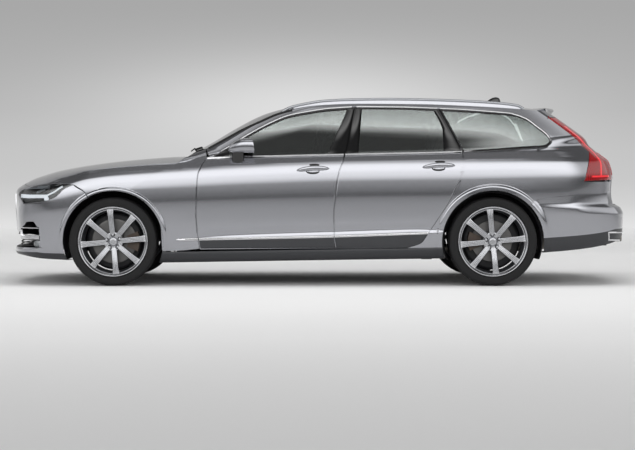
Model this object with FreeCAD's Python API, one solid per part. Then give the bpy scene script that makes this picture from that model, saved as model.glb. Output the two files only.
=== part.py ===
"""Five-door station wagon, full size, as an assembly of separate panels and parts.

Frame: +X runs to the rear, +Y to the car's right, +Z up. The origin is on the ground, half way
along the car, on its centre line. All sizes are in millimetres.

The body is one closed envelope: plan outlines stacked up the car's height, trimmed by a long
profile of bonnet, roof and underside that is crowned across the car. Every panel is a share of a
shell between that envelope and an inset copy of it, so that neighbouring panels meet exactly.
"""

import FreeCAD
import Part
import math
import os

V = FreeCAD.Vector
os.makedirs("parts", exist_ok=True)

# ---------------------------------------------------------------- driving dimensions
wheelbase = 2941.0
front_overhang = 872.0
rear_overhang = 1123.0
body_width = 1879.0
track = 1610.0
tyre_radius = 343.0
tyre_width = 255.0
rim_flange_radius = 271.0
rim_barrel_radius = 236.0
arch_radius = 390.0
roof_height = 1475.0

panel_gap = 5.0          # open joint between a moving panel and its neighbours
skin_wall = 34.0         # bonnet, wings and roof with their inner frames
bumper_wall = 60.0
door_wall = 112.0        # whole thickness of a door or of the body side below the windows
frame_wall = 52.0        # the same above the windows
door_skin = 12.0         # outer step of a door that laps over the pillars
door_lap = 18.0          # how far the aperture is smaller than the door's outer step
door_inner_inset = 38.0  # how far the door's inner box is smaller than its outer step
window_frame = 38.0      # width of a door's frame round its window
handle_length = 250.0
handle_y = 952.0         # how far out the handles stand from the centre plane
handle_depth = 40.0
glass_wall = 5.0
tailgate_wall = 62.0
tailgate_inner_inset = 50.0   # how far the tailgate's box is narrower than its skin, on each side
tailgate_side_gap = 10.0      # open joint beside the tailgate, wider because its edges slope inwards
roof_half = 548.0        # half the width of the roof panel between its side rails
lamp_wall = 45.0
liner_wall = 8.0
bumper_bay_half = 700.0  # half the width of the open space under the floor behind the rear wheels
pipe_y = 580.0           # tail pipes: distance from the centre plane, height and hole in the bumper
pipe_z = 365.0
pipe_radius = 32.0
pipe_hole_radius = 38.0
floor_wall = 40.0

body_length = front_overhang + wheelbase + rear_overhang
half_width = body_width / 2
nose_x = -body_length / 2
tail_x = body_length / 2
front_axle_x = nose_x + front_overhang
rear_axle_x = tail_x - rear_overhang
axle_z = tyre_radius
wheel_y = track / 2


def F(dx):
    """A place measured rearwards from the front axle."""
    return front_axle_x + dx


def R(dx):
    """A place measured rearwards from the rear axle."""
    return rear_axle_x + dx


# ---------------------------------------------------------------- shape helpers
def chain(points, put):
    """Closed wire. An item (a, b) is a straight run to that point; (am, bm, a, b) is an arc through (am, bm)."""
    start = points[0]
    last = put(*start)
    edges = []
    for item in list(points[1:]) + [start]:
        end = put(*item[-2:])
        if end.distanceToPoint(last) < 1e-6:
            continue
        if len(item) == 4:
            edges.append(Part.Arc(last, put(item[0], item[1]), end).toShape())
        else:
            edges.append(Part.makeLine(last, end))
        last = end
    return Part.Wire(edges)


def grown(points, d):
    """The same closed outline of straight runs, moved outwards all round by d."""
    area = sum(a[0] * b[1] - b[0] * a[1] for a, b in zip(points, points[1:] + points[:1]))
    turn = 1.0 if area > 0 else -1.0
    out = []
    for before, here, after in zip(points[-1:] + points[:-1], points, points[1:] + points[:1]):
        normals = []
        for a, b in ((before, here), (here, after)):
            run = math.hypot(b[0] - a[0], b[1] - a[1])
            normals.append((turn * (b[1] - a[1]) / run, -turn * (b[0] - a[0]) / run))
        (ax, az), (bx, bz) = normals
        share = d / (1.0 + ax * bx + az * bz)
        out.append((here[0] + share * (ax + bx), here[1] + share * (az + bz)))
    return out


def prism_y(points, y0, y1):
    """Side view outline (x, z), carried from y0 to y1."""
    face = Part.Face(chain(points, lambda x, z: V(x, y0, z)))
    return face.extrude(V(0, y1 - y0, 0))


def prism_z(points, z0, z1):
    """Plan outline (x, y), carried from z0 to z1."""
    face = Part.Face(chain(points, lambda x, y: V(x, y, z0)))
    return face.extrude(V(0, 0, z1 - z0))


def prism_x(points, x0, x1):
    """Front view outline (y, z), carried from x0 to x1."""
    face = Part.Face(chain(points, lambda y, z: V(x0, y, z)))
    return face.extrude(V(x1 - x0, 0, 0))


def box(x0, x1, y0, y1, z0, z1):
    return Part.makeBox(x1 - x0, y1 - y0, z1 - z0, V(x0, y0, z0))


def rod_y(radius, x, z, y0, y1):
    return Part.makeCylinder(radius, y1 - y0, V(x, y0, z), V(0, 1, 0))


def rod(radius, a, b):
    a, b = V(*a), V(*b)
    return Part.makeCylinder(radius, (b - a).Length, a, b - a)


def mirrored(shape):
    return shape.mirror(V(0, 0, 0), V(0, 1, 0))


def join(first, *others):
    return first.multiFuse(list(others)).removeSplitter()


def main_solid(shape):
    """The largest solid of a shape: slivers that a cut leaves behind are dropped."""
    return max(shape.Solids, key=lambda s: s.Volume)


written = {}


def put(node, *shapes):
    """Writes one node. Its solids don't touch one another."""
    solids = [s for shape in shapes for s in shape.Solids]
    shape = solids[0] if len(solids) == 1 else Part.makeCompound(solids)
    shape.exportStep(f"parts/{node}.step")
    written[node] = shape
    ok = all(s.isValid() and s.Volume > 0 for s in solids)
    print(f"{node:22s} solids {len(solids)} volume {shape.Volume / 1e6:9.3f} l valid {ok}")


# ---------------------------------------------------------------- the envelope
# Share of the length from axle to nose or tail, and of the half width, at the three points that
# shape a plan outline's corner: end of the nose arc, middle of the corner, start of the side.
lower_corner = [(0.9415, 0.70), (0.848, 0.848), (0.55, 0.980)]

# Lower body, from the underside to the waist.
# columns: height at mid-car, rise per mm of length, nose from front axle, tail from rear axle, half width
lower_levels = [
    (150.0, 0.0129, -804.0, 1035.0, half_width - 101.0),
    (279.0, 0.0125, -840.0, 1080.0, half_width - 46.0),
    (385.0, 0.0266, -854.0, 1117.0, half_width - 27.0),
    (545.0, 0.0200, -866.0, 1123.0, half_width - 13.0),
    (570.0, 0.0200, -867.0, 1014.0, half_width - 12.0),
    (720.0, 0.0200, -872.0, 1012.0, half_width - 7.0),
    (850.0, 0.0300, -870.0, 1034.0, half_width - 10.0),
    (965.0, 0.0334, -844.0, 990.0, half_width - 25.0),
    (1010.0, 0.0330, -784.0, 930.0, half_width - 67.0),
    (1075.0, 0.0330, -700.0, 700.0, half_width - 114.0),
]

# Upper body, from below the waist to above the roof.
# columns: height at mid-car, rise per mm, windscreen from front axle, rear window from rear axle, half width
upper_levels = [
    (950.0, 0.0330, 345.0, 925.0, half_width - 73.0),
    (1012.0, 0.0330, 457.0, 930.0, half_width - 73.0),
    (1120.0, 0.0200, 681.0, 820.0, half_width - 136.0),
    (1246.0, 0.0100, 915.0, 663.0, half_width - 212.0),
    (1351.0, 0.0000, 1137.0, 528.0, half_width - 277.0),
    (1400.0, 0.0000, 1306.0, 455.0, half_width - 307.0),
    (1430.0, 0.0000, 1446.0, 440.0, half_width - 340.0),
    (1500.0, 0.0000, 1596.0, 425.0, half_width - 400.0),
]
screen_setback = 120.0   # how far the windscreen's edge lies behind its middle
window_setback = 70.0    # how far the rear window's edge lies ahead of its middle
# The same corners above the waist: distance past the setback, share of the half width.
screen_corner = [(0.0, 0.93), (45.0, 0.972), (150.0, 0.992)]
window_corner = [(0.0, 0.88), (65.0, 0.96), (260.0, 0.992)]

# Long profile of bonnet and roof on the centre line.
# columns: place, height below the roof's top, which crown, share of that crown
top_profile = [
    (F(-925.0), -770.0, "bonnet", 0.40),
    (F(-872.0), -738.0, "bonnet", 0.40),
    (F(-828.0), -697.0, "bonnet", 0.45),
    (F(-729.0), -643.0, "bonnet", 0.55),
    (F(-511.0), -575.0, "bonnet", 0.80),
    (F(-268.0), -531.0, "bonnet", 0.95),
    (F(13.0), -495.0, "bonnet", 1.00),
    (F(400.0), -460.0, "bonnet", 1.00),
    (F(530.0), -452.0, "bonnet", 1.00),
    (F(531.0), -360.0, "bonnet", 1.00),
    (F(1334.0), -67.0, "roof", 0.80),
    (F(1536.0), -32.0, "roof", 1.00),
    (F(1796.0), -9.0, "roof", 1.00),
    (F(2196.0), 0.0, "roof", 1.00),
    (R(-345.0), -6.0, "roof", 1.00),
    (R(0.0), -23.0, "roof", 1.00),
    (R(305.0), -40.0, "roof", 1.00),
    (R(520.0), -58.0, "roof", 1.00),
    (R(1200.0), -140.0, "roof", 1.00),
]
# columns: place, height of the underside
under_profile = [
    (R(1200.0), 480.0),
    (R(1067.0), 392.0),
    (R(960.0), 329.0),
    (R(399.0), 255.0),
    (R(-425.0), 208.0),
    (F(419.0), 183.0),
    (F(-394.0), 193.0),
    (F(-542.0), 201.0),
    (F(-694.0), 221.0),
    (F(-842.0), 251.0),
    (F(-925.0), 268.0),
]
# columns: distance from the centre line, fall of the bonnet there, fall of the roof there
crown = [
    (0.0, 0.0, 0.0), (400.0, 3.0, 19.0), (628.0, 18.0, 50.0), (836.0, 53.0, 104.0), (965.0, 90.0, 150.0),
]


def plan_wire(z0, rise, front, rear, wide, front_shape, rear_shape):
    """One plan outline, in a plane that rises to the rear: nose arc, corner, side, corner, tail arc."""
    def at(x, y):
        return V(x, y, z0 + rise * x)
    f1, f2, f3 = [at(front + dx, y) for dx, y in front_shape]
    r1, r2, r3 = [at(rear - dx, y) for dx, y in rear_shape]
    other = [V(p.x, -p.y, p.z) for p in (f1, f2, f3, r1, r2, r3)]
    g1, g2, g3, s1, s2, s3 = other
    mid = (f3.x + r3.x) / 2
    runs = [
        (g1, at(front, 0), f1), (f1, f2, f3), (f3, at(mid, wide), r3), (r3, r2, r1),
        (r1, at(rear, 0), s1), (s1, s2, s3), (s3, at(mid, -wide), g3), (g3, g2, g1),
    ]
    return Part.Wire([Part.Arc(*run).toShape() for run in runs])


def lower_wire(level, inset):
    z0, rise, nose, tail, wide = level
    wide -= inset
    front_run, rear_run = -nose - inset, tail - inset
    front_shape = [(front_run * (1 - a), wide * b) for a, b in lower_corner]
    rear_shape = [(rear_run * (1 - a), wide * b) for a, b in lower_corner]
    return plan_wire(z0, rise, F(nose + inset), R(tail - inset), wide, front_shape, rear_shape)


def upper_wire(level, inset):
    z0, rise, screen, window, wide = level
    wide -= inset
    front_shape = [(screen_setback + dx, share * wide) for dx, share in screen_corner]
    rear_shape = [(window_setback + dx, share * wide) for dx, share in window_corner]
    along = 1.6 * inset
    return plan_wire(z0, rise, F(screen + along), R(window - along), wide, front_shape, rear_shape)


def profile_solid(top_inset, under_inset):
    """Side profile of bonnet, roof and underside, crowned across the car."""
    wires = []
    for side in (-1, 1):
        rows = crown[::-1] if side < 0 else crown[1:]
        for y, bonnet_fall, roof_fall in rows:
            points = []
            for x, z, kind, share in top_profile:
                fall = (bonnet_fall if kind == "bonnet" else roof_fall) * share
                points.append(V(x, side * y, roof_height + z - fall - top_inset))
            for x, z in under_profile:
                points.append(V(x, side * y, z + under_inset))
            wires.append(Part.makePolygon(points + [points[0]]))
    return Part.makeLoft(wires, True, True)


def envelope(low=0.0, up=0.0, top=0.0, under=0.0):
    """The whole body as one solid, drawn in by these amounts."""
    lower = Part.makeLoft([lower_wire(row, low) for row in lower_levels], True, True)
    upper = Part.makeLoft([upper_wire(row, up) for row in upper_levels], True, True)
    return lower.fuse(upper).common(profile_solid(top, under))


far = half_width + 150.0
outer = envelope()


def inset(d):
    return envelope(d, d, d, d)


skin_core = inset(skin_wall)
bumper_core = inset(bumper_wall)
lamp_core = inset(lamp_wall)
door_core = inset(door_skin)
flange_core = inset(door_skin + 6.0)
tailgate_core = inset(tailgate_wall)
wall_core = envelope(door_wall, frame_wall, skin_wall, 0.0)
glass_shell = outer.cut(inset(glass_wall))
print("envelope", round(outer.Volume / 1e9, 3), "m3", outer.isValid())


# ---------------------------------------------------------------- cut lines, side view
lamp_line = [
    (F(-306), 783), (F(-415), 788), (F(-481), 786), (F(-577), 773), (F(-662), 762), (F(-716), 744),
    (F(-790), 722), (F(-925), 712), (F(-925), 622), (F(-706), 634), (F(-560), 652), (F(-449), 683),
]
bonnet_line = [
    (F(-925), 724), (F(-790), 727), (F(-716), 749), (F(-662), 767), (F(-577), 778), (F(-481), 791),
    (F(-422), 819), (F(-335), 850), (F(-180), 895), (F(62), 922), (F(304), 942), (F(489), 952), (F(561), 998),
]
wing_lead = [(F(-218), 722), (F(-306), 783), (F(-415), 789)]
door_lead = [(F(727), 1002), (F(681), 928), (F(657), 800), (F(646), 597), (F(655), 410), (F(674), 290)]
pillar_line = [(F(1881), 1400), (F(1792), 1024), (F(1735), 612), (F(1699), 300)]
front_door_line = [
    (F(657), 800), (F(681), 928), (F(752), 1002), (F(884), 1083), (F(1016), 1171), (F(1217), 1282), (F(1352), 1337),
    (F(1556), 1375), (F(1692), 1393),
] + pillar_line + [(F(674), 290), (F(655), 410), (F(646), 597)]
rear_door_line = pillar_line[::-1] + [
    (R(-404), 1390), (R(-339), 1258), (R(-284), 1146), (R(-233), 1037), (R(-213), 961), (R(-224), 886),
    (R(-269), 795), (R(-344), 645), (R(-420), 525), (R(-510), 390), (R(-555), 329), (R(-661), 300),
]
quarter_line = [
    (R(-375), 1370), (R(-183), 1360), (R(218), 1328), (R(262), 1308), (R(353), 1247), (R(447), 1158),
    (R(462), 1116), (R(406), 1084), (R(-205), 1048), (R(-262), 1150), (R(-320), 1262),
]
tail_lamp_line = [
    (R(452), 1318), (R(572), 1218), (R(782), 1031), (R(760), 993), (R(708), 812), (R(1200), 812),
    (R(1200), 1100), (R(560), 1420), (R(470), 1350),
]
rear_bumper_line = [
    (R(341), 0), (R(341), 675), (R(666), 708), (R(708), 812), (R(1200), 812), (R(1200), 0),
]


def belt(x):
    return 1012.0 + 0.033 * x


# ---------------------------------------------------------------- regions
def band(points, grow=0.0, y0=-far, y1=-300.0):
    """Side view outline on the left of the car, made larger or smaller all round."""
    return prism_y(grown(points, grow) if grow else points, y0, y1)


gap = panel_gap / 2
roof_plan = [
    (F(1396), -roof_half), (R(391), -roof_half), (R(391), roof_half), (F(1396), roof_half),
    (F(1310), 0, F(1396), -roof_half),
]
screen_plan = [
    (F(1396), -560), (F(1310), 0, F(1396), 560), (F(600), 790), (F(500), 0, F(600), -790),
]
scuttle_plan = [
    (F(600), -790), (F(500), 0, F(600), 790), (F(489), 790), (F(400), 0, F(489), -790),
]
bonnet_tail = F(489) - panel_gap
bonnet_plan = [
    (F(-960), -far), (bonnet_tail, -far), (bonnet_tail, -790), (F(400) - panel_gap, 0, bonnet_tail, 790),
    (bonnet_tail, far), (F(-960), far),
]


def tailgate_region(grow, x0):
    points = []
    for y, z in ((-690, 622), (-690, 1040), (-545, 1380), (-545, 1520)):
        points.append((y - grow, z - (grow if z < 700 else 0)))
    points += [(-y, z) for y, z in points[::-1]]
    return prism_x(points, x0, R(1300))


bonnet_side = bonnet_line + [(F(640), 1040), (F(640), 1500), (F(-925), 1500)]
bonnet_region = prism_y([(x, z + panel_gap) for x, z in bonnet_side], -far, far)
bonnet_region = bonnet_region.common(prism_z(bonnet_plan, 600, 1500))
bonnet_hole = prism_y(bonnet_side, -far, far).common(box(F(-960), F(489), -far, far, 600, 1500))
roof_region = prism_z(roof_plan, 1300, 1560)
screen_region = prism_z(screen_plan, 900, 1560)
scuttle_region = prism_z(scuttle_plan, 880, 1200)
wing_foot = [(F(674), 268), (F(380), 262), (F(0), axle_z)]
wing_region = band(wing_lead + bonnet_line[6:] + door_lead + wing_foot, 0, -far, -200)
front_arch = rod_y(arch_radius, F(0), axle_z, -far, -480)
rear_arch = rod_y(arch_radius, R(0), axle_z, -far, -560)
grille_region = box(F(-960), F(-760), -345, 345, 470, 716)
left_half = box(F(-960), R(1300), -far, -roof_half, 100, 1600)


# ---------------------------------------------------------------- front end
bonnet = main_solid(outer.cut(skin_core).common(bonnet_region))
put("bonnet", bonnet)

wing = outer.cut(skin_core).common(wing_region).cut(front_arch)
wing = main_solid(wing.cut(bonnet_hole).cut(screen_region).cut(scuttle_region))
put("front_wings", wing, mirrored(wing))

lamp_inner_y = 420.0
headlamp = main_solid(outer.cut(lamp_core).common(band(lamp_line, 0, -far, -lamp_inner_y)).cut(bonnet_hole))
put("headlamps", headlamp, mirrored(headlamp))

grille = main_solid(outer.cut(bumper_core).common(grille_region))
put("grille", grille)

bumper_side = [(F(-960), 100), (F(-960), 723), (F(-790), 723), wing_lead[1], wing_lead[0], (F(-218), 100)]
front_bumper = outer.cut(bumper_core).common(prism_y(bumper_side, -far, far)).cut(bonnet_hole).cut(grille_region)
for solid in (headlamp, mirrored(headlamp), front_arch, mirrored(front_arch), wing, mirrored(wing)):
    front_bumper = front_bumper.cut(solid)
front_bumper = main_solid(front_bumper)
put("front_bumper", front_bumper)

# ---------------------------------------------------------------- roof, glass and scuttle
fin = prism_y([(R(12), 1430), (R(60), 1472), (R(133), 1508), (R(141), 1506), (R(153), 1430)], -15, 15)
roof = main_solid(outer.cut(skin_core).common(roof_region))
roof = join(roof, fin.cut(skin_core))
put("roof_panel", roof)

windscreen = glass_shell.common(screen_region).common(box(F(400), F(1440), -far, far, 900, 1500))
windscreen = main_solid(windscreen.cut(roof_region))
put("windscreen", windscreen)

scuttle = main_solid(outer.cut(skin_core).common(scuttle_region))
put("scuttle", scuttle)

# ---------------------------------------------------------------- doors and body sides
door_faces = outer.cut(door_core)
door_boxes = door_core.cut(wall_core)
wall_shell = outer.cut(wall_core)
above_belt = [(F(400), belt(F(400)) + 18), (F(400), 1600), (R(900), 1600), (R(900), belt(R(900)) + 18)]


def window(points):
    """Opening left inside a door's frame above the waist."""
    top = prism_y(points, -far, -300).common(prism_y(above_belt, -far, -300))
    face = min(top.Faces, key=lambda f: f.CenterOfMass.y)
    return band([(v.X, v.Z) for v in face.OuterWire.OrderedVertexes], -window_frame)


body_side = wall_shell.common(left_half).common(box(F(480), R(1300), -far, 0, 100, 1600))
body_side = body_side.cut(bonnet_hole).cut(scuttle_region).cut(screen_region).cut(roof_region)
body_side = body_side.cut(wing).cut(rear_arch).cut(front_arch)



def handle(x, z):
    """Pull handle: a flat bar, pointed at its front end, that stands out from the door's skin."""
    bar = [(x, z + 10), (x + 45, z + 30), (x + handle_length - 15, z + 32), (x + handle_length, z + 22), (x + 45, z)]
    return prism_y(bar, -handle_y, -handle_y + handle_depth)


for name, points, pull in (
    ("front", front_door_line, handle(F(1421), belt(0.0) - 123)),
    ("rear", rear_door_line, handle(R(-548), belt(R(-400)) - 130)),
):
    opening = window(points)
    skin = door_faces.common(band(points, -gap))
    inner = door_boxes.common(band(points, -gap - door_inner_inset))
    door = main_solid(join(skin.fuse(inner).cut(opening), pull))
    glass = main_solid(glass_shell.common(opening))
    put(f"{name}_door_left", door)
    put(f"{name}_door_right", mirrored(door))
    put(f"{name}_glass_left", glass)
    put(f"{name}_glass_right", mirrored(glass))
    body_side = body_side.cut(band(points, gap).cut(flange_core)).cut(band(points, -door_lap))

quarter = band(quarter_line)
quarter_glass = main_solid(glass_shell.common(quarter))
put("quarter_glasses", quarter_glass, mirrored(quarter_glass))

tail_hole = tailgate_region(gap, R(391))
tail_lamp = main_solid(outer.cut(lamp_core).common(band(tail_lamp_line, 0, -far, -400)).cut(tail_hole))
put("tail_lamps", tail_lamp, mirrored(tail_lamp))

bumper_region = prism_y(rear_bumper_line, -far, far)
under_bay = box(R(341), R(960), -bumper_bay_half, bumper_bay_half, 100, 700)
rear_bumper = outer.cut(bumper_core).common(bumper_region).cut(tail_hole).cut(under_bay)
rear_bumper = rear_bumper.cut(rear_arch).cut(mirrored(rear_arch))
for y in (-pipe_y, pipe_y):
    rear_bumper = rear_bumper.cut(rod(pipe_hole_radius, (R(900), y, pipe_z), (R(1200), y, pipe_z)))
rear_bumper = main_solid(rear_bumper)
put("rear_bumper", rear_bumper)

body_side = main_solid(body_side.cut(quarter).cut(tail_hole).cut(tail_lamp).cut(bumper_region))
put("body_sides", body_side, mirrored(body_side))

# ---------------------------------------------------------------- tailgate
# A thin outer skin of the full width, and a box behind it that is narrower, so that it lifts clear.
tailgate_lead = R(391) + panel_gap
skin_grow = gap - tailgate_side_gap
tailgate_skin = outer.cut(flange_core).common(tailgate_region(skin_grow, tailgate_lead))
tailgate_box = flange_core.cut(tailgate_core).common(tailgate_region(skin_grow - tailgate_inner_inset, tailgate_lead))
tailgate_shell = tailgate_skin.fuse(tailgate_box).cut(box(R(391), R(900), -far, far, 100, 620))
rear_opening = prism_x([(-588, 1085), (-462, 1368), (462, 1368), (588, 1085)], R(391), R(1300))
blade = profile_solid(0.0, 0.0).cut(profile_solid(26.0, 0.0))
blade = blade.common(box(tailgate_lead, R(586), -530, 530, 1200, 1500))
lamp_slot = box(R(700), R(1300), 430, 700, 850, 1040)
lamp_slots = lamp_slot.fuse(mirrored(lamp_slot))
tailgate_lamps = outer.cut(flange_core).common(lamp_slots).common(tailgate_region(skin_grow, R(391)))
tailgate = main_solid(tailgate_shell.fuse(blade).cut(rear_opening).cut(tailgate_lamps))
put("tailgate", tailgate)
put("tailgate_lamps", tailgate_lamps)
put("tailgate_glass", main_solid(glass_shell.common(rear_opening)))

# ---------------------------------------------------------------- floor and engine bay
floor_y = 800.0
tunnel = box(F(560), R(-380), -120, 120, 100, 335)
floor_slab = wall_core.cut(envelope(door_wall, frame_wall, skin_wall, floor_wall))
floor_slab = floor_slab.common(box(F(600), R(-390), -far, far, 100, 400))
tunnel_cover = box(F(600), R(-390), -150, 150, 190, 360).cut(tunnel)
kick_up = box(R(-420), R(-390), -560, 560, 205, 615).cut(tunnel)
load_floor = box(R(-420), R(940), -560, 560, 590, 615)
rear_panel = box(R(910), R(940), -560, 560, 300, 615)
for y in (-pipe_y, pipe_y):
    rear_panel = rear_panel.cut(rod(pipe_hole_radius + 6, (R(900), y, pipe_z), (R(960), y, pipe_z)))
firewall_side = [
    (F(600), 200), (F(632), 200), (F(632), 950), (F(445), 950), (F(445), 1100), (F(425), 1100),
    (F(425), 930), (F(600), 930),
]
firewall = prism_y(firewall_side, -floor_y, floor_y).common(wall_core).common(skin_core).cut(tunnel)
jack_y = 690.0
jacks = []
for side in (-1, 1):
    for x, z in ((F(740), 178), (R(-500), 198)):
        jacks.append(box(x - 40, x + 40, side * jack_y - 25, side * jack_y + 25, z, z + 40))
floor = join(floor_slab.cut(tunnel), tunnel_cover, kick_up, load_floor, rear_panel, firewall, *jacks)
floor = main_solid(floor)
put("floor_pan", floor)

rails = []
for side in (-1, 1):
    y0 = min(side * 400, side * 460)
    rails.append(box(F(-640), F(600), y0, y0 + 60, 330, 430))
crossmember = box(F(-120), F(120), -460, 460, 200, 330)
radiator = box(F(-640), F(-600), -400, 400, 300, 700)
arms = []
for side in (-1, 1):
    arm = [(F(-100), side * 440), (F(100), side * 440), (F(25), side * 690), (F(-25), side * 690)]
    arms.append(prism_z(arm, 222, 246))
subframe = join(rails[0], rails[1], crossmember, radiator, arms[0], arms[1])
subframe = subframe.cut(front_bumper)
put("front_subframe", subframe)
put("engine_block", box(F(-430), F(330), -330, 330, 330, 820))

liners = []
for x, wheel_in, core in ((F(0), 480, skin_core), (R(0), 560, wall_core)):
    ring = rod_y(arch_radius + liner_wall, x, axle_z, -far, -wheel_in)
    ring = ring.cut(rod_y(arch_radius, x, axle_z, -far, -wheel_in))
    ring = ring.common(box(x - 500, x + 500, -far, -wheel_in, 0, 900))
    cheek = rod_y(arch_radius + liner_wall, x, axle_z, -wheel_in, -wheel_in + liner_wall)
    liner = join(ring, cheek).common(core).common(box(x - 500, x + 500, -far, 0, axle_z + 60, 900))
    for solid in (wing, front_bumper, body_side, floor, subframe, headlamp):
        liner = liner.cut(solid)
    liner = main_solid(liner)
    liners += [liner, mirrored(liner)]
put("arch_liners", *liners)

# ---------------------------------------------------------------- cabin
put("dashboard", box(F(632), F(880), -770, 770, 690, 940).cut(body_side).cut(mirrored(body_side)))

hub = V(F(1080), -370, 805)
tilt = V(-math.cos(math.radians(24)), 0, -math.sin(math.radians(24)))
wheel_rim = Part.makeTorus(172, 15, hub, tilt)
boss = Part.makeCylinder(60, 40, hub - tilt * 15, tilt)
bar = box(-20, 20, -172, 172, -10, 10)
bar.rotate(V(0, 0, 0), V(0, 1, 0), 66)
bar.translate(hub)
column = Part.makeCylinder(30, 240, hub, tilt)
steering_wheel = join(wheel_rim, boss, bar, column).cut(box(F(632), F(880), -770, 770, 690, 940))
put("steering_wheel", main_solid(steering_wheel))

seat_side = [
    (F(1180), 238), (F(1560), 238), (F(1600), 470), (F(1690), 640), (F(1810), 1080), (F(1820), 1210),
    (F(1730), 1210), (F(1700), 1080), (F(1560), 620), (F(1130), 560), (F(1120), 460),
]
front_seat = prism_y(seat_side, -620, -160).cut(floor)
for y in (-620, -270):
    front_seat = front_seat.cut(box(F(1600), F(1900), y, y + 110, 1090, 1300))
front_seat = main_solid(front_seat)
put("front_seats", front_seat, mirrored(front_seat))

rear_cushion = [
    (R(-900), 380), (R(-420), 360), (R(-420), 615), (R(-250), 615), (R(-170), 1120), (R(-270), 1120),
    (R(-400), 620), (R(-900), 590),
]
rear_seat = prism_y(rear_cushion, -550, 550)
rear_base = box(R(-860), R(-420), -550, 550, 236, 380)
put("rear_seat", main_solid(join(rear_seat, rear_base).cut(floor)))

# ---------------------------------------------------------------- running gear
def turned(points, x, y, z):
    """Ring turned about a wheel's axle from an (radius, offset) outline."""
    face = Part.Face(Part.makePolygon([V(x + r, y + o, z) for r, o in points + points[:1]]))
    return face.revolve(V(x, y, z), V(0, 1, 0), 360)


shoulder = tyre_width / 2
bead = rim_flange_radius - 17.0
tyre_section = [
    (bead, -shoulder + 24), (rim_flange_radius + 2, -shoulder + 24), (tyre_radius - 60, -shoulder + 8),
    (tyre_radius - 38, -shoulder), (tyre_radius - 16, -shoulder + 7), (tyre_radius - 5, -shoulder + 16),
    (tyre_radius, -shoulder + 34),
]
tyre_section += [(r, -o) for r, o in tyre_section[::-1]]
rim_section = [
    (rim_barrel_radius, -shoulder + 12), (rim_flange_radius, -shoulder + 12),
    (rim_flange_radius, -shoulder + 24), (bead, -shoulder + 24),
    (bead, shoulder - 24), (rim_flange_radius, shoulder - 24),
    (rim_flange_radius, shoulder - 12), (rim_barrel_radius, shoulder - 12),
]
spoke_count = 8
spoke_start = 5.5
spindle_radius = 22.0
hub_bore = 22.05
front_disc_radius = 172.0
rear_disc_radius = 160.0


def wheel(x, disc_radius):
    """Rim with spokes, hub and brake disc, on the left of the car."""
    y = -wheel_y
    ring = turned(rim_section, x, y, axle_z)
    face_y = y - shoulder + 20
    pieces = [rod_y(78, x, axle_z, face_y + 8, y + 22)]
    for i in range(spoke_count):
        angle = spoke_start + 360.0 / spoke_count * i
        edge = [(50, 23), (190, 22), (240, 30)]
        outline = [(x + r, axle_z - half) for r, half in edge] + [(x + r, axle_z + half) for r, half in edge[::-1]]
        spoke = prism_y(outline, face_y, face_y + 45)
        spoke.rotate(V(x, 0, axle_z), V(0, 1, 0), -angle)
        pieces.append(spoke)
    disc = rod_y(disc_radius, x, axle_z, y - 14, y + 14)
    return join(ring, *pieces, disc).cut(rod_y(hub_bore, x, axle_z, y - 40, y + 40))


def caliper(x, disc_radius, along):
    """Brake caliper: a saddle over the disc's edge."""
    y = -wheel_y
    saddle = rod_y(disc_radius + 28, x, axle_z, y - 42, y + 52)
    saddle = saddle.cut(rod_y(disc_radius - 62, x, axle_z, y - 50, y + 60))
    saddle = saddle.cut(rod_y(disc_radius + 6, x, axle_z, y - 20, y + 20))
    wedge = prism_y([(x, axle_z), (x + along * 260, axle_z - 110), (x + along * 260, axle_z + 110)], y - 60, y + 70)
    return saddle.common(wedge)


for end, x, disc_radius in (("front", F(0), front_disc_radius), ("rear", R(0), rear_disc_radius)):
    rim = wheel(x, disc_radius)
    tyre = turned(tyre_section, x, -wheel_y, axle_z)
    put(f"{end}_rim_left", rim)
    put(f"{end}_rim_right", mirrored(rim))
    put(f"{end}_tyre_left", tyre)
    put(f"{end}_tyre_right", mirrored(tyre))



def stub(x, disc_radius, along):
    """What carries one wheel: spindle, bearing housing, caliper and the arm that holds it."""
    y = -wheel_y
    arm = [(x, axle_z - 30), (x + along * 150, axle_z - 40), (x + along * 150, axle_z + 40), (x, axle_z + 30)]
    return join(
        rod_y(spindle_radius, x, axle_z, y - 36, y + 60),
        rod_y(58, x, axle_z, y + 30, y + 95),
        prism_y(arm, y + 30, y + 52),
        caliper(x, disc_radius, along),
    )


kingpin_y = -745.0
x = F(0)
upright = join(stub(x, front_disc_radius, 1), box(x - 35, x + 35, kingpin_y - 20, kingpin_y + 45, 254, 470))
put("knuckle_left", upright)
put("knuckle_right", mirrored(upright))

x = R(0)
halves = []
for side in (0, 1):
    beam = rod_y(42, x, axle_z, -wheel_y + 60, 0)
    post = box(x - 40, x + 40, -470, -400, axle_z, 590)
    half = join(stub(x, rear_disc_radius, -1), beam, post)
    halves.append(mirrored(half) if side else half)
put("rear_axle", join(halves[0], halves[1]).cut(floor))

pipe = rod(30, (F(560), 0, 262), (R(430), 0, 262))
silencer = box(R(420), R(640), -620, 620, 272, 420)
tips = [rod(pipe_radius, (R(620), side * pipe_y, pipe_z), (R(1052), side * pipe_y, pipe_z)) for side in (-1, 1)]
hangers = [rod(10, (R(530), side * 300, 400), (R(530), side * 300, 590)) for side in (-1, 1)]
put("exhaust", join(pipe, silencer, tips[0], tips[1], hangers[0], hangers[1]))

# ---------------------------------------------------------------- roof rails and mirrors
rail_side = [
    (F(1288), 1362), (F(1358), 1405), (F(1472), 1433), (F(1642), 1459), (F(1855), 1468), (F(2138), 1472),
    (R(-518), 1468), (R(-235), 1459), (R(49), 1443), (R(233), 1420), (R(290), 1380), (R(290), 1300), (F(1288), 1300),
]
roof_rail = main_solid(prism_y(rail_side, -606, -578).cut(outer))
put("roof_rails", roof_rail, mirrored(roof_rail))

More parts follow.
